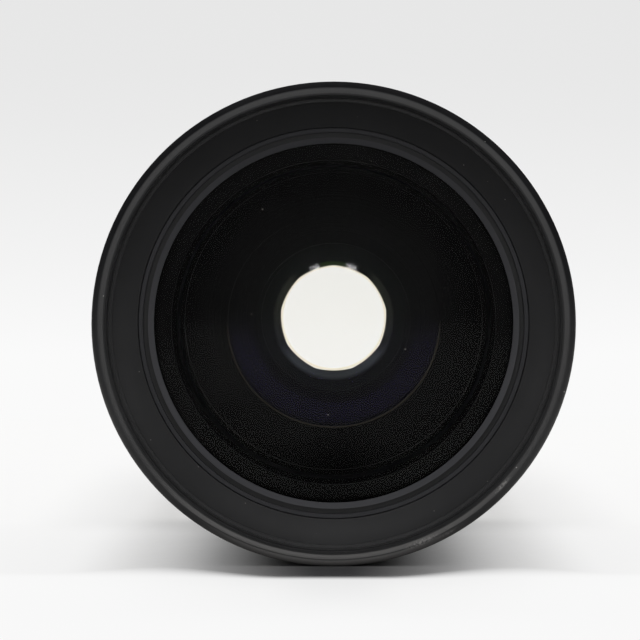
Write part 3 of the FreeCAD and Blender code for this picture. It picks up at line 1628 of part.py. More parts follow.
bayonet_mount()
mount_screws()
mount_seal()
contact_block()
rear_baffle()
rear_barrel()
switch_panel()
mode_switch()
hold_button()
guide_barrel()
guide_screws()
main_board()
rear_group()
cam_barrel()
zoom_key()
zoom_sleeve()
grips()
focus_sleeve()
front_tube()
filter_ring()
front_bezel()
front_cell()
front_retainer()
front_glass()
variator_cell()
variator_glass()
carrier_frame()
carrier_plate()
iris_base()
iris_cover()
iris_blades()
iris_ring()
iris_pinion()
iris_motor()
relay_glass()
guide_rods()
focus_cell()
focus_glass()
focus_motors()

doc.recompute()
for item in doc.Objects:
    if "Invalid" in item.State or "Error" in item.State:
        raise RuntimeError(f"{item.Name} failed to build")
for node in nodes:
    if node.Shape.isNull() or not node.Shape.isValid():
        raise RuntimeError(f"{node.Label} has no sound solid")

os.makedirs("parts", exist_ok=True)
for node in nodes:
    node.Shape.exportStep(f"parts/{node.Label}.step")
print(f"{len(nodes)} nodes, front plane at {front_at.value:.2f} mm, blade at rest {REST_BLADE_ANGLE:.3f}, "
      f"full {FULL_BLADE_ANGLE:.3f} degrees")
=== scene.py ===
import json
import math

import bmesh
import bpy
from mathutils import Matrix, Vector


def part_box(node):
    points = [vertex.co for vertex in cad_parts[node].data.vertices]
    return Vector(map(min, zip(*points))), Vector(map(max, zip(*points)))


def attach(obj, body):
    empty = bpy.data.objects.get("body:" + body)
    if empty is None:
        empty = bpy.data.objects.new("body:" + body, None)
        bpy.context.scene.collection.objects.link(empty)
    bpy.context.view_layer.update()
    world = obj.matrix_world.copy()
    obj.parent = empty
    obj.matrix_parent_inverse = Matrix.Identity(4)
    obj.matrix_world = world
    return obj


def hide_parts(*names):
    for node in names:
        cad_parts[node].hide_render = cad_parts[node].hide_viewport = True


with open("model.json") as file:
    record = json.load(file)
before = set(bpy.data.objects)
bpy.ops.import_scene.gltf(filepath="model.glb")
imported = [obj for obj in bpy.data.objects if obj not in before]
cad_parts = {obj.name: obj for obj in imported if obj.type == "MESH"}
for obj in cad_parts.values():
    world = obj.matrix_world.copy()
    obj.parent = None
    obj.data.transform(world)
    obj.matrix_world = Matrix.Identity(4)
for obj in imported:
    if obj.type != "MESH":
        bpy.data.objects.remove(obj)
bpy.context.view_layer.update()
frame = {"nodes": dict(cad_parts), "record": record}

MM = 0.001
NODES = frame["nodes"]
# How far the rim's front lies in front of the mount's seat, and the height of the floor under the rim
FRONT_AT = -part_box("filter_ring")[0].y
FLOOR_Z = -44.0 * MM
# Where the front glass's dome is furthest forward, and the dome's radius
GLASS_Y = -FRONT_AT + 5.7 * MM
DOME_RADIUS = 150 * MM


def per_mm(feature):
    """The scale of a texture on metre coordinates whose features are this many millimetres wide."""
    return 1000.0 / feature


def paint(code):
    """An sRGB hex colour as linear light, with alpha."""
    channels = [int(code[i:i + 2], 16) / 255 for i in (0, 2, 4)]
    linear = [c / 12.92 if c <= 0.04045 else ((c + 0.055) / 1.055) ** 2.4 for c in channels]
    return (*linear, 1.0)


def add(tree, kind, look=None, feed=None):
    """Add a node, set its properties, and give its inputs numbers or links."""
    node = tree.nodes.new(kind)
    for name, value in (look or {}).items():
        setattr(node, name, value)
    for key, value in (feed or {}).items():
        if isinstance(value, bpy.types.NodeSocket):
            tree.links.new(value, node.inputs[key])
        else:
            node.inputs[key].default_value = value
    return node


def start_material(name):
    """An empty material, its tree and its object coordinates."""
    material = bpy.data.materials.new(name)
    material.use_nodes = True
    tree = material.node_tree
    tree.nodes.clear()
    coordinates = add(tree, "ShaderNodeTexCoord")
    return material, tree, coordinates.outputs["Object"]


def close_material(material, tree, shader):
    add(tree, "ShaderNodeOutputMaterial", feed={"Surface": shader})
    return material


def axes(tree, place):
    """A point's place across, along the optical axis and up, in metres."""
    split = add(tree, "ShaderNodeSeparateXYZ", None, {0: place})
    return split.outputs["X"], split.outputs["Y"], split.outputs["Z"]


def axis_radius(tree, place):
    """How far a point is from the optical axis, in metres."""
    flat = add(tree, "ShaderNodeVectorMath", {"operation": "MULTIPLY"}, {0: place, 1: (1, 0, 1)})
    return add(tree, "ShaderNodeVectorMath", {"operation": "LENGTH"}, {0: flat.outputs[0]}).outputs["Value"]


def fade(tree, value, low, high, start=0.0, end=1.0):
    """A smooth step of a value from low to high."""
    step = add(tree, "ShaderNodeMapRange", {"interpolation_type": "SMOOTHSTEP"},
               {"Value": value, "From Min": low, "From Max": high, "To Min": start, "To Max": end})
    return step.outputs["Result"]


def blend(tree, share, first, second):
    """A colour between two, by a share."""
    mix = add(tree, "ShaderNodeMix", {"data_type": "RGBA"}, {0: share, 6: first, 7: second})
    return mix.outputs[2]


def product(tree, first, second):
    return add(tree, "ShaderNodeMath", {"operation": "MULTIPLY"}, {0: first, 1: second}).outputs[0]


def larger(tree, first, second):
    return add(tree, "ShaderNodeMath", {"operation": "MAXIMUM"}, {0: first, 1: second}).outputs[0]


def total(tree, first, second):
    return add(tree, "ShaderNodeMath", {"operation": "ADD"}, {0: first, 1: second}).outputs[0]


def finished(material, tree, place, colour, fine, relief, rough, metallic, level, marks, ridges=None):
    """Close a finish: its marks over its colour, and its fine pattern in the gloss and as a relief.

    Marks is a function that gives shares and colours of marks at each point. Level is the strength of
    the reflection, or a function that gives it. Ridges is a function that gives the height of a second,
    coarser relief.
    """
    for share, mark_colour in marks(tree, place) if marks else ():
        colour = blend(tree, share, colour, paint(mark_colour))
    gloss = add(tree, "ShaderNodeMapRange", None, {
        "Value": fine, "From Min": 0.3, "From Max": 0.7, "To Min": rough[0], "To Max": rough[1]})
    bump = add(tree, "ShaderNodeBump", None, {"Height": fine, "Distance": relief * MM, "Strength": 1.0})
    if ridges:
        coarse = add(tree, "ShaderNodeBump", None, {"Height": ridges(tree, place), "Distance": 0.2 * MM})
        tree.links.new(coarse.outputs["Normal"], bump.inputs["Normal"])
    shader = add(tree, "ShaderNodeBsdfPrincipled", None, {
        "Base Color": colour, "Roughness": gloss.outputs["Result"], "Normal": bump.outputs["Normal"],
        "Metallic": metallic})
    if callable(level):
        tree.links.new(level(tree, place), shader.inputs["Specular IOR Level"])
    elif not metallic:
        shader.inputs["Specular IOR Level"].default_value = level
    return close_material(material, tree, shader.outputs[0])


def grained(name, dark, pale, grain, relief, rough,
            metallic=0.0, level=0.5, patch=9.0, marks=None, ridges=None):
    """A finish with fine grain: patches of two close tones, grain in the gloss, and a fine relief.

    Sizes are in millimetres.
    """
    material, tree, place = start_material(name)
    cloud = add(tree, "ShaderNodeTexNoise", None, {"Vector": place, "Scale": per_mm(patch), "Detail": 4.0})
    fine = add(tree, "ShaderNodeTexNoise", None, {"Vector": place, "Scale": per_mm(grain), "Detail": 2.0})
    colour = blend(tree, fade(tree, cloud.outputs["Fac"], 0.3, 0.7), paint(dark), paint(pale))
    return finished(material, tree, place, colour, fine.outputs["Fac"], relief, rough, metallic, level,
                    marks, ridges)


def turned(name, dark, pale, pitch, relief, rough, metallic=0.0, level=0.5, marks=None):
    """A lathe-turned finish: fine lines round the optical axis, uneven as a real cut is. Sizes in mm."""
    material, tree, place = start_material(name)
    along = axes(tree, place)[1]
    radius = axis_radius(tree, place)
    feed_line = add(tree, "ShaderNodeMath", {"operation": "SUBTRACT"}, {0: radius, 1: along}).outputs[0]
    lines = add(tree, "ShaderNodeTexNoise", {"noise_dimensions": "1D"},
                {"W": feed_line, "Scale": per_mm(pitch), "Detail": 3.0})
    cloud = add(tree, "ShaderNodeTexNoise", None, {"Vector": place, "Scale": per_mm(7.0), "Detail": 3.0})
    tone = product(tree, fade(tree, cloud.outputs["Fac"], 0.3, 0.7), lines.outputs["Fac"])
    colour = blend(tree, tone, paint(dark), paint(pale))
    return finished(material, tree, place, colour, lines.outputs["Fac"], relief, rough, metallic, level,
                    marks)


def dust(size, amount):
    """Specks of pale dust of a size in mm, in the middle of some of the cells of a Voronoi pattern."""
    def marks(tree, place):
        cells = add(tree, "ShaderNodeTexVoronoi", None, {"Vector": place, "Scale": per_mm(size * 9)})
        speck = fade(tree, cells.outputs["Distance"], 0.10, 0.05)
        chance = add(tree, "ShaderNodeSeparateColor", None, {0: cells.outputs["Color"]}).outputs[0]
        chosen = add(tree, "ShaderNodeMath", {"operation": "LESS_THAN"}, {0: chance, 1: amount})
        return [(product(tree, speck, chosen.outputs[0]), "8c8a86")]
    return marks


def coated_glass(name, body_tint, left_tint, edge_radius, sheen, gloss, warm_from=None, film=0.0, low=False):
    """Optical glass with an anti-reflection coating: clear, with a faint tinted reflection.

    The coating leaves so little that it is a thin layer of its own over glass that hardly reflects. It
    grows at grazing angles as on real glass. The solids' curves are only typical ones, so the glass
    hardly bends light, and the pupil keeps its measured size. In a narrow ring at warm_from its colour
    is warmer, as at the edge of the pupil. Film is the share of a thin haze of dust. With low, the tint
    is only in the lower half, where the coating mirrors the white floor. The ground cylinder round the
    edge is blackened with lacquer, so no light leaks in at the side.
    """
    material, tree, place = start_material(name)
    radius = axis_radius(tree, place)
    rim = fade(tree, radius, edge_radius - 0.08 * MM, edge_radius - 0.04 * MM)
    smear = add(tree, "ShaderNodeTexNoise", None, {"Vector": place, "Scale": per_mm(14.0), "Detail": 5.0})
    haze = fade(tree, smear.outputs["Fac"], 0.45, 0.75, gloss, gloss * 1.2)
    clear = add(tree, "ShaderNodeBsdfPrincipled", None, {
        "Base Color": paint(body_tint), "Roughness": 0.0, "IOR": 1.001, "Transmission Weight": 1.0})
    if warm_from:
        warm = product(tree, fade(tree, radius, warm_from, warm_from + 0.2 * MM),
                       fade(tree, radius, warm_from + 0.7 * MM, warm_from + 0.5 * MM))
        tree.links.new(blend(tree, warm, paint(body_tint), paint("faf4e4")), clear.inputs["Base Color"])
    left = add(tree, "ShaderNodeBsdfGlossy", None, {"Color": paint(left_tint), "Roughness": haze})
    if low:
        under = fade(tree, axes(tree, place)[2], 2.0 * MM, -5.0 * MM)
        tree.links.new(blend(tree, under, paint("808080"), paint(left_tint)), left.inputs["Color"])
    share = add(tree, "ShaderNodeFresnel", None, {"IOR": sheen})
    glass = add(tree, "ShaderNodeMixShader", None, {
        0: share.outputs[0], 1: clear.outputs[0], 2: left.outputs[0]})
    if film:
        powder = add(tree, "ShaderNodeBsdfDiffuse", None, {"Color": paint("f0f0ee")})
        cover = fade(tree, smear.outputs["Fac"], 0.35, 0.75, film * 0.8, film * 1.4)
        glass = add(tree, "ShaderNodeMixShader", None, {0: cover, 1: glass.outputs[0], 2: powder.outputs[0]})
    lacquer = add(tree, "ShaderNodeBsdfPrincipled", None, {
        "Base Color": paint("070707"), "Roughness": 0.9, "Specular IOR Level": 0.1})
    mix = add(tree, "ShaderNodeMixShader", None, {0: rim, 1: glass.outputs[0], 2: lacquer.outputs[0]})
    return close_material(material, tree, mix.outputs[0])


def chamfer(tree, place):
    """1 on the chamfer between the filter thread and the rim's flat front."""
    radius = axis_radius(tree, place)
    inside = fade(tree, radius, 41.15 * MM, 41.25 * MM)
    return product(tree, fade(tree, radius, 41.95 * MM, 41.75 * MM), inside)


def flat_front(tree, place):
    """1 on the rim's flat front."""
    radius = axis_radius(tree, place)
    inside = fade(tree, radius, 41.8 * MM, 42.0 * MM)
    return product(tree, inside, fade(tree, radius, 42.75 * MM, 42.6 * MM))


def round_edge(tree, place):
    """1 on the rim's round front edge, outside its flat front."""
    along = axes(tree, place)[1]
    front = fade(tree, along, -FRONT_AT + 2.4 * MM, -FRONT_AT + 1.5 * MM)
    return product(tree, fade(tree, axis_radius(tree, place), 42.7 * MM, 43.0 * MM), front)


# Each rubbed streak's angle round the axis in degrees, and its radius, length and width in mm
STREAKS = ((-67.8, 42.6, 4.2, 0.75), (-43.9, 42.3, 2.6, 0.45), (-61.5, 43.2, 2.0, 0.3))


def streak(tree, place, angle, radius, long, wide):
    """1 in the middle of one streak, which lies along the rim, and 0 round it."""
    turn = math.radians(angle)
    middle = Vector((radius * math.cos(turn), 0.0, radius * math.sin(turn))) * MM
    away = add(tree, "ShaderNodeVectorMath", {"operation": "SUBTRACT"}, {0: place, 1: middle})
    level = add(tree, "ShaderNodeVectorRotate", {"rotation_type": "Y_AXIS"},
                {"Vector": away.outputs[0], "Angle": turn})
    scaled = add(tree, "ShaderNodeVectorMath", {"operation": "MULTIPLY"},
                 {0: level.outputs[0], 1: (1000 / wide, 0, 1000 / long)})
    reach = add(tree, "ShaderNodeVectorMath", {"operation": "LENGTH"}, {0: scaled.outputs[0]})
    return fade(tree, reach.outputs["Value"], 1.0, 0.2)


def rim_marks(tree, place):
    """Rubbed streaks at the lower right, and dust. The rim's flat front is paler, most at the bottom, and its
    round edge is paler at the bottom: painted light from the white floor below.

    The chamfer inside the flat front is darker as painted shade, and so is the round edge outside it, a
    little more at the top.
    """
    grit = add(tree, "ShaderNodeTexNoise", None, {
        "Vector": place, "Scale": per_mm(0.5), "Detail": 6.0, "Roughness": 0.7})
    share = streak(tree, place, *STREAKS[0])
    for row in STREAKS[1:]:
        share = larger(tree, share, streak(tree, place, *row))
    rubbed = product(tree, share, fade(tree, grit.outputs["Fac"], 0.42, 0.62))
    specks = dust(0.16, 0.10)(tree, place)[0][0]
    height = axes(tree, place)[2]
    edge = round_edge(tree, place)
    # Painted shade on the round edge, a little more at the top
    edge_painted_shade = product(tree, edge, fade(tree, height, -30 * MM, 30 * MM, 0.05, 0.1))
    # Painted light from the floor: the flat front and the round edge paler towards the bottom
    flat_painted_light = product(tree, flat_front(tree, place), fade(tree, height, -24 * MM, -42 * MM, 0.04, 0.24))
    edge_painted_light = product(tree, edge, fade(tree, height, -34 * MM, -43 * MM, 0.0, 0.3))
    # Painted shade in the chamfer and on the round edge, painted light at the bottom, then real rubs and dust
    return [(product(tree, chamfer(tree, place), 0.4), "030303"),
            (edge_painted_shade, "030303"),
            (larger(tree, flat_painted_light, edge_painted_light), "9a9896"),
            (larger(tree, product(tree, rubbed, 0.55), specks), "9a9896")]


def rim_level(tree, place):
    """The rim's flat front shines most; the chamfer inside it and the top of its round edge are dull."""
    height = axes(tree, place)[2]
    dull = product(tree, round_edge(tree, place), fade(tree, height, -36 * MM, 25 * MM))
    dull = larger(tree, dull, product(tree, chamfer(tree, place), 0.45))
    return fade(tree, dull, 0.0, 1.0, 0.40, 0.0)


def filter_thread(tree, place):
    """The crests of the filter thread, 0.75 mm apart, on the wall inside the rim."""
    along = axes(tree, place)[1]
    turn = product(tree, along, 2 * math.pi / (0.75 * MM))
    wave = add(tree, "ShaderNodeMath", {"operation": "SINE"}, {0: turn})
    return product(tree, wave.outputs[0], fade(tree, axis_radius(tree, place), 41.35 * MM, 41.15 * MM))


def collar_tone_and_gap_painted_light(tree, place):
    """The collar round the front glass is paler than the lacquer further in; the same colour runs down the
    wall of the deep gap beside it as painted light, where the gap lies in shade.
    """
    collar = fade(tree, axis_radius(tree, place), 34.90 * MM, 34.98 * MM)
    front = fade(tree, axes(tree, place)[1], -FRONT_AT + 9.6 * MM, -FRONT_AT + 9.4 * MM)
    # The collar's paler tone, and painted light on the wall of the shaded gap beside it
    return [(product(tree, collar, front), "323234")]


def lip_painted_highlight(tree, place):
    """A painted highlight: the lip's slope is paler at its inner edge, next to the glass."""
    # Painted highlight round the inner edge of the lip
    return [(fade(tree, axis_radius(tree, place), 34.12 * MM, 33.98 * MM), "303033")]


def variator_lip_painted_reflection(tree, place):
    """A painted reflection: a fine brownish line low on the lip round the variator glass."""
    line = fade(tree, axis_radius(tree, place), 20.3 * MM, 20.2 * MM)
    # Painted reflection, only in the lower half
    return [(product(tree, line, fade(tree, axes(tree, place)[2], 1.0 * MM, -5.0 * MM)), "3c372f")]


def winding(name):
    """Enamelled copper wire wound on a coil: fine rounded turns 0.12 mm apart with a warm orange tone."""
    material, tree, place = start_material(name)
    turns = add(tree, "ShaderNodeTexWave", {"wave_type": "BANDS", "bands_direction": "Y"},
                {"Vector": place, "Scale": per_mm(0.12) / 20, "Distortion": 0.3, "Detail": 1.0})
    colour = blend(tree, turns.outputs["Fac"], paint("4a1f0e"), paint("c06a34"))
    bump = add(tree, "ShaderNodeBump", None, {"Height": turns.outputs["Fac"], "Distance": 0.03 * MM})
    shader = add(tree, "ShaderNodeBsdfPrincipled", None, {
        "Base Color": colour, "Metallic": 0.85, "Roughness": 0.34, "Normal": bump.outputs["Normal"]})
    return close_material(material, tree, shader.outputs[0])


def circuit_board(name):
    """Green solder mask over copper tracks: paler right-angled tracks and tinned pads under a clear gloss."""
    material, tree, place = start_material(name)
    flat = add(tree, "ShaderNodeMapping", None, {"Vector": place, "Rotation": (math.radians(90), 0, 0)})
    tracks = add(tree, "ShaderNodeTexBrick", {"offset": 0.5, "squash": 1.0}, {
        "Vector": flat.outputs[0], "Scale": per_mm(6.0), "Mortar Size": 0.03, "Brick Width": 0.9,
        "Row Height": 0.35, "Color1": paint("0d3b20"), "Color2": paint("0f4526"), "Mortar": paint("1f6b3c")})
    pads = add(tree, "ShaderNodeTexVoronoi", None, {"Vector": place, "Scale": per_mm(3.2)})
    pad = fade(tree, pads.outputs["Distance"], 0.22, 0.18)
    colour = blend(tree, pad, tracks.outputs["Color"], paint("b9b4a6"))
    shader = add(tree, "ShaderNodeBsdfPrincipled", None, {
        "Base Color": colour, "Roughness": fade(tree, pad, 0.0, 1.0, 0.3, 0.45), "Coat Weight": 0.3})
    return close_material(material, tree, shader.outputs[0])


def blade_finish(name):
    """Blackened spring steel, paler and warm at the inner edge. Painted reflections colour the metal.

    They are blue-green low on the blades, olive at the sides and green in a short sliver at the top.
    """
    material, tree, place = start_material(name)
    radius = axis_radius(tree, place)
    across, _, height = axes(tree, place)
    fine = add(tree, "ShaderNodeTexNoise", None, {"Vector": place, "Scale": per_mm(0.5), "Detail": 2.0})
    colour = blend(tree, fine.outputs["Fac"], paint("050505"), paint("080807"))
    # Painted reflection: blue-green low on the blades, near the inner edge
    low = product(tree, fade(tree, height, -3.0 * MM, -8.5 * MM), fade(tree, radius, 12.3 * MM, 11.2 * MM))
    colour = blend(tree, low, colour, paint("72797a"))
    off_middle = add(tree, "ShaderNodeMath", {"operation": "ABSOLUTE"}, {0: across}).outputs[0]
    # Painted reflection: olive at the sides
    side = product(tree, fade(tree, off_middle, 6.5 * MM, 8.5 * MM), fade(tree, radius, 12.0 * MM, 11.2 * MM))
    colour = blend(tree, product(tree, side, fade(tree, low, 0.0, 1.0, 1.0, 0.0)), colour, paint("3f4038"))
    # Painted reflection: a green sliver at the top
    high = product(tree, fade(tree, off_middle, 3.1 * MM, 2.3 * MM), fade(tree, height, 5.0 * MM, 8.0 * MM))
    high = product(tree, high, fade(tree, radius, 11.3 * MM, 10.9 * MM))
    colour = blend(tree, high, colour, paint("3a5020"))
    colour = blend(tree, fade(tree, radius, 10.5 * MM, 10.25 * MM), colour, paint("868066"))
    bump = add(tree, "ShaderNodeBump", None, {"Height": fine.outputs["Fac"], "Distance": 0.002 * MM})
    shader = add(tree, "ShaderNodeBsdfPrincipled", None, {
        "Base Color": colour, "Roughness": fade(tree, fine.outputs["Fac"], 0.3, 0.7, 0.5, 0.6),
        "Normal": bump.outputs["Normal"], "Specular IOR Level": 0.12})
    return close_material(material, tree, shader.outputs[0])


# Each finish is named for what it is made of and how its surface was made.
FINISHES = {
    # Spark-eroded mould texture: an even, fine-grained satin black that shows rubs as pale streaks
    "rim_moulding": grained(
        "moulded_polycarbonate_rim", "19191a", "1e1e1f", 0.22, 0.012, (0.44, 0.54),
        level=rim_level, marks=rim_marks, ridges=filter_thread),
    # Smooth moulding with a dull finish, so the dished ring shades evenly
    "bezel_black": grained(
        "dull_moulded_bezel", "131314", "171718", 0.35, 0.004, (0.5, 0.58),
        level=0.24, marks=dust(0.12, 0.05)),
    # Black anodised aluminium turned on a lathe: fine lines round the lip, with a soft dull sheen and a
    # painted highlight at the lip's inner edge
    "lip_black": turned(
        "black_anodised_front_retainer", "131314", "181819", 0.25, 0.006, (0.5, 0.6),
        level=0.36, marks=lip_painted_highlight),
    # Black anodised tube with fine turning lines, slightly browner where it is rubbed
    "tube_black": turned("black_anodised_tube", "1a1a1b", "222223", 0.18, 0.004, (0.32, 0.42)),
    # Magnesium shell under a fine wrinkle-free satin paint with a trace of orange peel
    "shell_paint": grained(
        "satin_painted_magnesium", "1a1a1b", "1f1f20", 0.6, 0.012, (0.38, 0.48), marks=dust(0.14, 0.03)),
    # Moulded rubber: dull, soft-looking, holding a little pale dust
    "grip_rubber": grained(
        "moulded_grip_rubber", "151516", "1b1b1b", 0.25, 0.02, (0.68, 0.8), level=0.3, marks=dust(0.2, 0.12)),
    # Soft sealing rubber, duller and darker than the grips
    "seal_rubber": grained("sealing_rubber", "111112", "161616", 0.3, 0.01, (0.72, 0.82), level=0.25),
    # Brass with satin chrome plating, turned: grey-white metal with fine circular lines
    "mount_plate": turned("satin_chromed_brass", "aaa8a3", "cac8c2", 0.12, 0.003, (0.2, 0.34), metallic=1.0),
    # Bright machine screws
    "screw_steel": grained(
        "bright_machined_steel", "8f8f92", "b0b0b2", 0.2, 0.003, (0.22, 0.32), metallic=1.0),
    # Gold over nickel: small, bright and warm
    "contact_gold": grained(
        "gold_plated_contact", "c9993f", "dfb562", 0.3, 0.002, (0.16, 0.24), metallic=1.0),
    # Fine spark-eroded black moulding
    "black_moulding": grained(
        "fine_textured_polycarbonate", "171718", "1c1c1d", 0.2, 0.01, (0.42, 0.54), marks=dust(0.12, 0.03)),
    # Turned aluminium under matt black lacquer, made to swallow light inside the barrel
    "black_anodised": turned("matt_black_lacquer", "060606", "090909", 0.35, 0.02, (0.75, 0.9), level=0.1),
    # Glass-filled moulding: dull black with a faint grey fleck of fibre
    "inner_moulding": grained("glass_filled_moulding", "0c0c0c", "131313", 0.4, 0.006, (0.6, 0.7), level=0.2),
    # Spring steel with a blued-black dry film, as iris blades have
    "blade_steel": grained("blackened_spring_steel", "050505", "080807", 0.5, 0.002, (0.5, 0.6), level=0.12),
    # Turned brass, slightly dulled
    "roller_brass": turned("turned_brass", "a37c3a", "c29a52", 0.1, 0.003, (0.24, 0.36), metallic=1.0),
    # Ground and polished steel
    "bright_steel": grained("ground_steel", "98989a", "b4b4b5", 0.15, 0.002, (0.16, 0.26), metallic=1.0),
    # Soft iron with dull nickel plating
    "yoke_iron": grained("dull_plated_iron", "6a6a6b", "858585", 0.4, 0.004, (0.38, 0.5), metallic=1.0),
    # Sintered magnet with bright nickel plating, slightly uneven
    "magnet_nickel": grained("nickel_plated_magnet", "a8a499", "bcb8ae", 1.0, 0.01, (0.2, 0.3), metallic=1.0),
    "coil_copper": winding("enamelled_copper_winding"),
    "board_green": circuit_board("solder_masked_board"),
}

# The tint of the glass, the colour that its coating leaves in reflections, its radius in mm, how strong
# the coating's reflection is (as an index that gives the same strength) and how sharp
GLASS = {
    "front_element": ("ffffff", "ffffff", 33.6, 1.13, 0.026),
    "second_element": ("ffffff", "f4f4f0", 30.0, 1.05, 0.55),
    "third_element": ("ffffff", "f4f4f0", 29.0, 1.0, 0.55),
    "variator_element": ("ffffff", "9e92f0", 21.0, 1.19, 0.05),
    "variator_rear_element": ("ffffff", "90d8c0", 14.7, 1.09, 0.25),
    "relay_element": ("ffffff", "a0ffb0", 15.7, 1.06, 0.2),
    "relay_rear_element": ("ffffff", "c0a060", 15.7, 1.06, 0.2),
    "focus_element": ("ffffff", "80c0ff", 13.5, 1.06, 0.2),
    "rear_inner_element": ("ffffff", "a0ff90", 15.0, 1.06, 0.2),
    "rear_element": ("fbfaf5", "b090ff", 15.0, 1.10, 0.04),
}
# What three of them need besides: a film of dust, a tint in the lower half only, and a warm ring
GLASS_MORE = {
    "front_element": {"film": 0.0035},
    "variator_element": {"low": True},
    "relay_element": {"warm_from": 9.85 * MM},
}


def finish_nodes():
    """Give every CAD node its material: its own where it has one, or else its slot's."""
    # The two cells are lacquered as the others; round their glass the front cell has a paler collar with
    # painted light down the gap beside it, and the variator cell a painted reflection low on its lip
    own = {
        "variator_cell": turned(
            "matt_black_lacquered_variator_cell", "060606", "090909", 0.35, 0.02, (0.75, 0.9),
            level=0.1, marks=variator_lip_painted_reflection),
        "front_cell": turned(
            "matt_black_lacquered_front_cell", "030303", "050505", 0.35, 0.02, (0.5, 0.62),
            level=0.08, marks=collar_tone_and_gap_painted_light),
    }
    for number in range(1, 10):
        own[f"iris_blade_{number}"] = blade_finish(f"blackened_spring_steel_blade_{number}")
    for name, (body_tint, left_tint, radius, sheen, gloss) in GLASS.items():
        own[name] = coated_glass(f"coated_{name}_glass", body_tint, left_tint, radius * MM, sheen, gloss,
                                 **GLASS_MORE.get(name, {}))
    for row in frame["record"]["subparts"]:
        name = row["node"]
        NODES[name].material_slots[0].material = own.get(name) or FINISHES[row["material_slot"]]


def placed(name, data):
    """A new object in the scene."""
    thing = bpy.data.objects.new(name, data)
    bpy.context.scene.collection.objects.link(thing)
    return thing


def plain_mesh(thing):
    """The mesh that an object comes to with its modifiers."""
    return bpy.data.meshes.new_from_object(thing.evaluated_get(bpy.context.evaluated_depsgraph_get()))


def mesh_of(name, body):
    """A mesh from the faces of a bmesh, turned outwards."""
    bmesh.ops.recalc_face_normals(body, faces=body.faces)
    mesh = bpy.data.meshes.new(name)
    body.to_mesh(mesh)
    body.free()
    return mesh


def piece_of(name, mesh, material, body):
    """A new piece with one material that rides a body."""
    mesh.materials.clear()
    mesh.materials.append(material)
    piece = placed(name, mesh)
    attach(piece, body)
    return piece


def start_nodes(name, inputs):
    """An empty Geometry Nodes tree with named inputs and one mesh out, and what it is given."""
    tree = bpy.data.node_groups.new(name, "GeometryNodeTree")
    for label, kind in inputs.items():
        tree.interface.new_socket(label, in_out="INPUT", socket_type="NodeSocket" + kind)
    tree.interface.new_socket("Mesh", in_out="OUTPUT", socket_type="NodeSocketGeometry")
    return tree, tree.nodes.new("NodeGroupInput").outputs


def close_nodes(tree, instances, material):
    """End a tree: make the instances real and give them their material."""
    real = add(tree, "GeometryNodeRealizeInstances", None, {"Geometry": instances})
    done = add(tree, "GeometryNodeSetMaterial", None, {"Geometry": real.outputs[0], "Material": material})
    add(tree, "NodeGroupOutput", None, {"Mesh": done.outputs[0]})


def grow(name, tree, values, start=None):
    """Run a Geometry Nodes tree on a start mesh and give back the plain mesh that it makes."""
    carrier = placed(name + "_carrier", start or bpy.data.meshes.new(name + "_start"))
    modifier = carrier.modifiers.new("grow", "NODES")
    modifier.node_group = tree
    for item in tree.interface.items_tree:
        if item.item_type == "SOCKET" and item.name in values:
            modifier[item.identifier] = values[item.name]
    carrier.update_tag()
    bpy.context.view_layer.update()
    mesh = plain_mesh(carrier)
    carrier.modifiers.remove(modifier)
    bpy.data.objects.remove(carrier)
    return mesh


def screw_pattern():
    """One pan-head screw with a cross recess, its head towards +Y, drawn at the origin."""
    head, shank, arm, half = 1.75 * MM, 0.85 * MM, 1.0 * MM, 0.26 * MM
    # How far the shank's end, the seat of the head, its edge, its top and the recess lie along the axis
    end, seat, edge, top, depth = -6.0, -0.8, -0.22, -0.05, -0.62
    corner = (arm + half) / 2
    quarter = [(arm, -half), (arm, 0.0), (arm, half), (corner, half), (half, half), (half, corner)]
    cross = []
    for _ in range(4):
        cross += quarter
        quarter = [(-v, u) for u, v in quarter]
    angles = [math.atan2(v, u) for u, v in cross]
    rounds = ((shank, end), (shank, seat), (head, seat), (head, edge), (head - 0.15 * MM, top))
    rings = [[(size * math.cos(a), y * MM, size * math.sin(a)) for a in angles] for size, y in rounds]
    rings.append([(u, top * MM, v) for u, v in cross])
    rings.append([(0.8 * u, depth * MM, 0.8 * v) for u, v in cross])
    body = bmesh.new()
    rows = [[body.verts.new(spot) for spot in ring] for ring in rings]
    for first, second in zip(rows, rows[1:]):
        for index in range(len(angles)):
            after = (index + 1) % len(angles)
            body.faces.new((first[index], first[after], second[after], second[index]))
    body.faces.new(rows[0])
    body.faces.new(rows[-1])
    return mesh_of("screw_pattern", body)


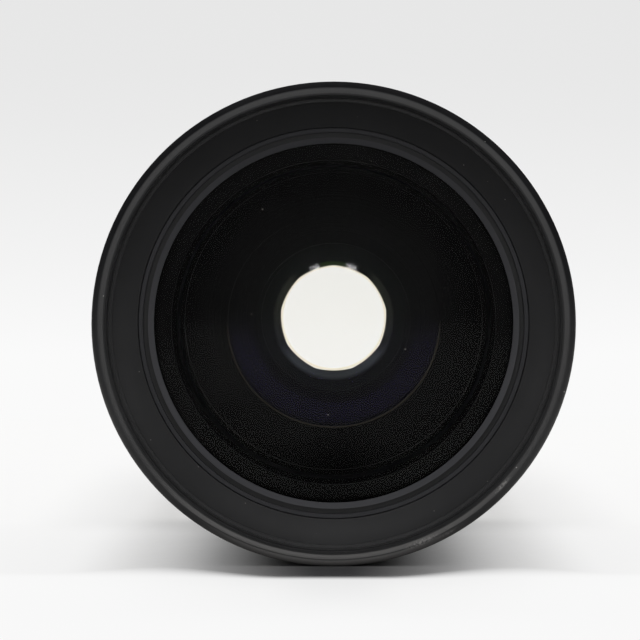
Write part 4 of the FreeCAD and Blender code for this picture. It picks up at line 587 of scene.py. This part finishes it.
def ring_of_screws():
    """The four screws of the bayonet: one pattern on a circle, each driven home to its own angle."""
    tree, given = start_nodes("screws_on_a_circle", {
        "Pattern": "Object", "Count": "Int", "Radius": "Float", "First Turn": "Float", "Seed": "Int",
        "Metal": "Material"})
    circle = add(tree, "GeometryNodeMeshCircle", None, {
        "Vertices": given["Count"], "Radius": given["Radius"]})
    turn = add(tree, "ShaderNodeCombineXYZ", None, {"X": math.radians(90), "Y": given["First Turn"]})
    stood = add(tree, "GeometryNodeTransform", None, {
        "Geometry": circle.outputs["Mesh"], "Rotation": turn.outputs[0]})
    chance = add(tree, "FunctionNodeRandomValue", None, {"Seed": given["Seed"]})
    own_turn = add(tree, "ShaderNodeCombineXYZ", None, {"Y": product(tree, chance.outputs[1], 2 * math.pi)})
    pattern = add(tree, "GeometryNodeObjectInfo", None, {"Object": given["Pattern"]})
    screws = add(tree, "GeometryNodeInstanceOnPoints", None, {
        "Points": stood.outputs["Geometry"], "Instance": pattern.outputs["Geometry"],
        "Rotation": own_turn.outputs[0]})
    close_nodes(tree, screws.outputs[0], given["Metal"])
    pattern_object = placed("screw_pattern", screw_pattern())
    mesh = grow("bayonet_screws", tree, {
        "Pattern": pattern_object, "Count": 4, "Radius": 29.2 * MM, "First Turn": math.radians(45), "Seed": 4,
        "Metal": FINISHES["screw_steel"]})
    bpy.data.objects.remove(pattern_object)
    piece = piece_of("cross_recess_screws", mesh, FINISHES["screw_steel"], "barrel")
    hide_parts("mount_screws")


# Where the photograph shows a speck on the front glass, in mm across and above the axis
SEEN_SPECKS = ((-13.0, 20.9), (-15.0, 1.7), (13.1, -4.7), (-1.0, -16.7))


def glass_dust():
    """Specks of dust on the front glass: four where the photograph shows them, and finer ones at random."""
    tree, given = start_nodes("dust_on_glass", {
        "Seen": "Geometry", "Reach": "Float", "Density": "Float", "Seed": "Int", "Dust": "Material"})
    disc = add(tree, "GeometryNodeMeshCircle", {"fill_type": "NGON"},
               {"Vertices": 32, "Radius": given["Reach"]})
    stood = add(tree, "GeometryNodeTransform", None, {
        "Geometry": disc.outputs["Mesh"], "Rotation": (math.radians(90), 0.0, 0.0)})
    points = add(tree, "GeometryNodeDistributePointsOnFaces", None, {
        "Mesh": stood.outputs["Geometry"], "Density": given["Density"], "Seed": given["Seed"]})
    flake = add(tree, "GeometryNodeMeshIcoSphere", None, {"Radius": 1.0, "Subdivisions": 1})
    # Inputs 2 and 3 are the least and the largest size
    size = add(tree, "FunctionNodeRandomValue", None, {2: 0.02 * MM, 3: 0.05 * MM, "Seed": given["Seed"]})
    turn = add(tree, "FunctionNodeRandomValue", {"data_type": "FLOAT_VECTOR"}, {"Seed": given["Seed"]})
    fine = add(tree, "GeometryNodeInstanceOnPoints", None, {
        "Points": points.outputs["Points"], "Instance": flake.outputs["Mesh"], "Rotation": turn.outputs[0],
        "Scale": size.outputs[1]})
    seen = add(tree, "GeometryNodeInstanceOnPoints", None, {
        "Points": given["Seen"], "Instance": flake.outputs["Mesh"],
        "Scale": (0.12 * MM, 0.05 * MM, 0.10 * MM)})
    both = add(tree, "GeometryNodeJoinGeometry")
    tree.links.new(fine.outputs[0], both.inputs[0])
    tree.links.new(seen.outputs[0], both.inputs[0])
    # Each speck moves back onto the glass dome
    across, _, height = axes(tree, add(tree, "GeometryNodeInputPosition").outputs[0])
    flat = add(tree, "ShaderNodeCombineXYZ", None, {"X": across, "Z": height})
    square = add(tree, "ShaderNodeVectorMath", {"operation": "DOT_PRODUCT"},
                 {0: flat.outputs[0], 1: flat.outputs[0]})
    level = total(tree, product(tree, square.outputs["Value"], 1 / (2 * DOME_RADIUS)), GLASS_Y)
    lifted = add(tree, "ShaderNodeCombineXYZ", None, {"X": across, "Y": level, "Z": height})
    laid = add(tree, "GeometryNodeSetPosition", None, {
        "Geometry": both.outputs[0], "Position": lifted.outputs[0]})
    close_nodes(tree, laid.outputs[0], given["Dust"])
    start = bpy.data.meshes.new("seen_dust")
    start.from_pydata([(x * MM, 0.0, z * MM) for x, z in SEEN_SPECKS], [], [])
    powder = grained("pale_dust", "b5b2aa", "d0cdc5", 0.05, 0.001, (0.9, 1.0), level=0.1)
    values = {"Reach": 32.5 * MM, "Density": 22000.0, "Seed": 11, "Dust": powder}
    mesh = grow("glass_dust", tree, values, start)
    piece_of("dust_on_front_glass", mesh, powder, "front_barrel")


def slab(outline, low, high, put):
    """A flat closed plate from an outline in mm, laid on a surface by put(across, up, out)."""
    plate = bmesh.new()
    under = [plate.verts.new(put(u, v, low)) for u, v in outline]
    over = [plate.verts.new(put(u, v, high)) for u, v in outline]
    plate.faces.new(under)
    plate.faces.new(over)
    for index in range(len(outline)):
        after = (index + 1) % len(outline)
        plate.faces.new((under[index], under[after], over[after], over[index]))
    return mesh_of("slab", plate)


def joined(meshes):
    whole = bmesh.new()
    for mesh in meshes:
        whole.from_mesh(mesh)
    result = bpy.data.meshes.new("joined")
    whole.to_mesh(result)
    whole.free()
    return result


def wrapped(turn, radius, from_mount):
    """A function that lays mm across, up and out on the barrel, read from behind the lens.

    Turn is where the middle comes, in degrees of the ring's travel. From_mount is how far in front of
    the mount the foot of it lies.
    """
    def put(across, up, out):
        angle = -math.radians(turn) + across / radius
        reach = (radius + out) * MM
        return Vector((-reach * math.sin(angle), -(from_mount + up) * MM, reach * math.cos(angle)))
    return put


def number_mesh(text, height, put):
    """A plain number in Blender's own font, 0.08 mm thick, laid on a surface."""
    curve = bpy.data.curves.new("number", "FONT")
    curve.body = text
    # The font's digits are 0.69 of its size high
    curve.size = height / 0.69
    curve.align_x = "CENTER"
    curve.resolution_u = 3
    curve.extrude = 0.04
    holder = placed("number", curve)
    bpy.context.view_layer.update()
    mesh = plain_mesh(holder)
    bpy.data.objects.remove(holder)
    for vertex in mesh.vertices:
        across, up, out = vertex.co
        vertex.co = put(across, up, out + 0.02)
    return mesh


def disc_outline(radius, sides):
    turns = [math.tau * k / sides for k in range(sides)]
    return [(radius * math.cos(turn), radius * math.sin(turn)) for turn in turns]


def bar(wide, tall):
    """The outline of an upright bar that stands on the origin."""
    return ((-wide / 2, 0.0), (wide / 2, 0.0), (wide / 2, tall), (-wide / 2, tall))


# The zoom scale's numbers, each with the degrees of the ring's travel at which it meets the index line
SCALE = (("24", 0.0), ("35", 25.0), ("50", 47.0), ("70", 70.0))
ZOOM_RING_RADIUS = 42.05
BARREL_RADIUS = 41.5


def on_cone(across, up, out):
    """The rear slope of the barrel at its top, 9 mm in front of the mount."""
    slope = Vector((0.0, 0.511, 0.860))
    along = Vector((0.0, -0.860, 0.511))
    return (Vector((-across, -9.0, 38.27)) + up * along + out * slope) * MM


def on_panel(across, up, out):
    """The switch panel's outer face, in front of the switch."""
    return Vector((42.35 + out, -36.6 - up, across)) * MM


def scale_and_marks():
    """The zoom scale, its index line, the mount's dot and the dot at the switch, in white print."""
    white_print = grained("white_screen_print", "cfcfca", "dadad6", 0.08, 0.002, (0.5, 0.6), level=0.35)
    numbers = []
    for text, turn in SCALE:
        numbers.append(number_mesh(text, 2.5, wrapped(turn, ZOOM_RING_RADIUS, 62.8)))
        numbers.append(slab(bar(0.36, 1.1), -0.02, 0.06, wrapped(turn, ZOOM_RING_RADIUS, 60.95)))
    piece_of("zoom_scale_print", joined(numbers), white_print, "zoom_ring")
    index_line = slab(bar(0.5, 3.2), -0.02, 0.06, wrapped(0.0, BARREL_RADIUS, 38.6))
    mount_dot = slab(disc_outline(1.3, 24), -0.03, 0.06, on_cone)
    switch_dot = slab(disc_outline(0.55, 16), -0.02, 0.05, on_panel)
    piece_of("barrel_print", joined([index_line, mount_dot, switch_dot]), white_print, "barrel")


# How far up the wall each shade of the paper lies, from the floor's white to 0.2 m above it
WALL_SHADES = ((0.0, "fafafa"), (0.07, "f8f8f8"), (0.25, "f3f3f3"), (0.42, "efefef"), (0.65, "eaeaea"),
               (0.8, "e8e8e8"), (1.0, "e7e7e7"))


def wall_shades(tree, height):
    """The paper's colour for the camera, from the floor up the wall."""
    rise = add(tree, "ShaderNodeMapRange", None, {
        "Value": height, "From Min": FLOOR_Z, "From Max": FLOOR_Z + 0.2, "To Min": 0.0, "To Max": 1.0})
    ramp = add(tree, "ShaderNodeValToRGB", None, {"Fac": rise.outputs["Result"]})
    band = ramp.color_ramp
    for stop, (where, code) in zip(band.elements, (WALL_SHADES[0], WALL_SHADES[-1])):
        stop.position, stop.color = where, paint(code)
    for where, code in WALL_SHADES[1:-1]:
        band.elements.new(where).color = paint(code)
    return ramp.outputs["Color"]


def backdrop_material():
    """White studio paper. Near the lens it is real diffuse white, so it keeps the shadow.

    Further back it also shines for the camera. Beside the lens, and in front of the rim's shadow edge, it
    shines for the camera as painted light, which lifts the shadow beside the lens and turns the paper in
    front of the edge white. Behind, it fades from white at the foot to pale grey at the top. Painted shadow
    makes it greyer under the front of the rim and beside the lens's back, where the shadow is deeper and ends
    softly. In front of the lens the real paper ends and the studio is darker, so the top of the dished ring
    gets less light from below.
    """
    material, tree, place = start_material("white_backdrop_paper")
    across, along, height = axes(tree, place)
    off_middle = add(tree, "ShaderNodeMath", {"operation": "ABSOLUTE"}, {0: across}).outputs[0]
    rays = add(tree, "ShaderNodeLightPath")
    seen = larger(tree, rays.outputs["Is Camera Ray"], rays.outputs["Is Transmission Ray"])
    seen_far = larger(tree, seen, rays.outputs["Is Glossy Ray"])

    # The share of shine for the camera: painted light beside the lens and in front of the shadow's edge, and
    # plain glow far behind
    sides = total(tree, fade(tree, off_middle, 8 * MM, 40 * MM, 0.0, 0.55),
                  fade(tree, off_middle, 34 * MM, 50 * MM, 0.0, 0.3))
    edge_start = fade(tree, off_middle, 9 * MM, 36 * MM, -FRONT_AT - 18 * MM, -FRONT_AT + 24 * MM)
    edge_end = fade(tree, off_middle, 8 * MM, 30 * MM, -FRONT_AT - 27 * MM, -FRONT_AT - 23 * MM)
    at_edge = fade(tree, off_middle, 5 * MM, 45 * MM, 0.84, 0.96)
    past_edge = fade(tree, along, -FRONT_AT - 24 * MM, -FRONT_AT - 110 * MM, at_edge, 0.98)
    front = fade(tree, along, edge_start, edge_end, 0.0, past_edge)
    # Painted light: the camera sees the paper glow beside the lens and in front of the shadow's edge
    near = product(tree, larger(tree, sides, front), seen)
    far = product(tree, fade(tree, along, 0.10, 0.50), seen_far)

    # Painted shadow: how much greyer the paper is under the front of the rim, and the paper and its glow
    # beside the lens's back
    painted_contact_shadow = product(tree, fade(tree, off_middle, 13 * MM, 2 * MM),
                   fade(tree, along, -FRONT_AT + 30 * MM, -FRONT_AT + 10 * MM))
    deep = total(tree, fade(tree, off_middle, 68 * MM, 36 * MM, 0.0, 0.15),
                 fade(tree, off_middle, 44 * MM, 33 * MM, 0.0, 0.12))
    reach = product(tree, fade(tree, along, -45 * MM, 0.0), fade(tree, along, 0.30, 0.06))
    shade = product(tree, deep, reach)
    ends = fade(tree, along, -FRONT_AT - 30 * MM, -FRONT_AT - 100 * MM)

    grain = add(tree, "ShaderNodeTexNoise", None, {"Vector": place, "Scale": per_mm(3.0), "Detail": 3.0})
    white = blend(tree, fade(tree, grain.outputs["Fac"], 0.3, 0.7), paint("e6e5e2"), paint("e9e8e6"))
    # Painted shadow under the front of the rim and beside the lens's back, then darker paper far in front
    for share, code in ((painted_contact_shadow, "989898"), (shade, "000000"), (ends, "8e8e8e")):
        white = blend(tree, share, white, paint(code))
    paper = add(tree, "ShaderNodeBsdfDiffuse", None, {"Color": white})
    # The glow carries the same painted shadow beside the lens's back
    glow = blend(tree, shade, wall_shades(tree, height), paint("000000"))
    shine = add(tree, "ShaderNodeEmission", None, {"Color": glow, "Strength": 1.0})
    mix = add(tree, "ShaderNodeMixShader", None, {
        0: larger(tree, near, far), 1: paper.outputs[0], 2: shine.outputs[0]})
    return close_material(material, tree, mix.outputs[0])


def backdrop():
    """Floor that sweeps up into a wall behind the lens, as one sheet of paper."""
    half_width, front, bend_from, bend, top = 1.7, -1.7, 1.15, 0.25, 1.6
    profile = [(y, FLOOR_Z) for y in (front, -0.4, 0.3, bend_from)]
    for step in range(1, 13):
        turn = math.radians(90 * step / 12)
        profile.append((bend_from + bend * math.sin(turn), FLOOR_Z + bend * (1 - math.cos(turn))))
    profile.append((bend_from + bend, top))
    mesh = bpy.data.meshes.new("backdrop")
    sheet = bmesh.new()
    rows = [[sheet.verts.new((x, y, z)) for x in (-half_width, half_width)] for y, z in profile]
    for low, high in zip(rows, rows[1:]):
        sheet.faces.new((low[0], low[1], high[1], high[0]))
    sheet.to_mesh(mesh)
    sheet.free()
    for face in mesh.polygons:
        face.use_smooth = True
    paper = placed("backdrop", mesh)
    mesh.materials.append(backdrop_material())
    return paper


def area_lamp(name, place, target, wide, tall, radiance):
    """A rectangular lamp of the given radiance that faces a point."""
    lamp = bpy.data.lights.new(name, "AREA")
    lamp.shape = "RECTANGLE"
    lamp.size, lamp.size_y = wide, tall
    lamp.energy = radiance * math.pi * wide * tall
    holder = placed(name, lamp)
    holder.location = place
    holder.rotation_euler = (Vector(target) - Vector(place)).to_track_quat("-Z", "Y").to_euler()
    return holder


def flag_off(lamp, *pieces):
    """Keep a lamp off these pieces, as a studio flag does."""
    shaded = bpy.data.collections.new(f"{lamp.name}_kept_off")
    for piece in pieces:
        shaded.objects.link(piece)
    for entry in shaded.collection_objects:
        entry.light_linking.link_state = "EXCLUDE"
    lamp.light_linking.receiver_collection = shaded


def soft_lamps(glass, paper, variator):
    """A long soft box overhead and behind, narrow along the lens, and weaker lamps round the front.

    The soft box throws the shadow forward under the rim. The weaker ones in front, above, low and at
    the sides light the dished ring. They are flagged off the paper, so the shadow under the rim stays
    dark. All are flagged off the front glass.
    """
    lens = (0.0, -0.12, 0.0)
    flag_off(area_lamp("overhead_soft_box", (0.0, 0.42, 1.05), (0.0, 0.0, -0.04), 1.7, 0.60, 5.6), glass)
    flag_off(area_lamp("front_fill", (0.0, -0.95, 0.95), lens, 0.8, 0.4, 5.8), glass, paper)
    flag_off(area_lamp("low_fill", (0.0, -0.95, 0.06), lens, 0.7, 0.16, 3.5), glass, paper, variator)
    flag_off(area_lamp("side_fill_left", (-0.95, -0.75, 0.30), lens, 0.5, 0.6, 3.4), glass, paper)
    flag_off(area_lamp("side_fill_right", (0.95, -0.75, 0.30), lens, 0.5, 0.6, 3.4), glass, paper)


# The two groups of strokes: each one's slant in degrees, and where its strokes are seen, in mm across and
# above the axis on the front glass
STROKES = (("left", 34, ((-4.40, 10.05), (-3.87, 10.23), (-3.43, 10.40), (-3.03, 10.55))),
           ("right", -21, ((2.55, 10.62), (3.14, 10.58), (3.72, 10.37), (4.24, 10.20))))


def stroke_tubes(glass):
    """Two groups of four slanting tubes in front of the lens, which show only in the front glass."""
    # How far in front the tubes hang, how far the mirrored line of sight swings for each mm on the
    # dome, how steeply the camera looks down, and how high on the glass the strokes lie
    away, swing, down, up = 1.2, 0.01479, 0.0216, 0.0103
    only_glass = bpy.data.collections.new("seen_in_front_glass")
    only_glass.objects.link(glass)
    for side, slant, spots in STROKES:
        for index, (across, height) in enumerate(spots):
            spot = Vector((swing * across * away, GLASS_Y - away, up + (swing * height - down) * away))
            tube = area_lamp(f"tube_{side}_{index + 1}", spot, (0.0, GLASS_Y, 0.0), 0.0022, 0.016, 300.0)
            tube.rotation_euler.rotate_axis("Z", math.radians(slant))
            tube.visible_camera = False
            tube.light_linking.receiver_collection = only_glass


def studio_air():
    """The studio's even grey light, which the camera sees as white."""
    world = bpy.data.worlds.new("studio")
    bpy.context.scene.world = world
    world.use_nodes = True
    sky = world.node_tree
    sky.nodes.clear()
    rays = add(sky, "ShaderNodeLightPath")
    light = add(sky, "ShaderNodeBackground", None, {"Color": paint("fbfbff"), "Strength": 0.17})
    white = add(sky, "ShaderNodeBackground", None, {"Color": paint("f6f6f6"), "Strength": 1.0})
    share = add(sky, "ShaderNodeMixShader", None, {
        0: rays.outputs["Is Camera Ray"], 1: light.outputs[0], 2: white.outputs[0]})
    add(sky, "ShaderNodeOutputWorld", None, {"Surface": share.outputs[0]})


def front_camera():
    """The camera stands 0.68 m in front of the rim and 15 mm above the lens's axis."""
    rim_y = -FRONT_AT + 1.6 * MM
    data = bpy.data.cameras.new("camera")
    data.sensor_width = 36.0
    data.lens = 210.7
    data.clip_start = 0.01
    camera = placed("camera", data)
    camera.location = (0.0, rim_y - 0.68, 14.8 * MM)
    aim = Vector((-2.47 * MM, rim_y, 0.74 * MM))
    camera.rotation_euler = (aim - camera.location).to_track_quat("-Z", "Y").to_euler()
    bpy.context.scene.camera = camera


finish_nodes()
ring_of_screws()
glass_dust()
scale_and_marks()
FRONT_GLASS = NODES["front_element"]
soft_lamps(FRONT_GLASS, backdrop(), NODES["variator_element"])
stroke_tubes(FRONT_GLASS)
studio_air()
front_camera()

scene = bpy.context.scene
scene.view_settings.view_transform = "Standard"
scene.cycles.max_bounces = 40
scene.cycles.transmission_bounces = 40
scene.cycles.glossy_bounces = 8
scene.cycles.diffuse_bounces = 4
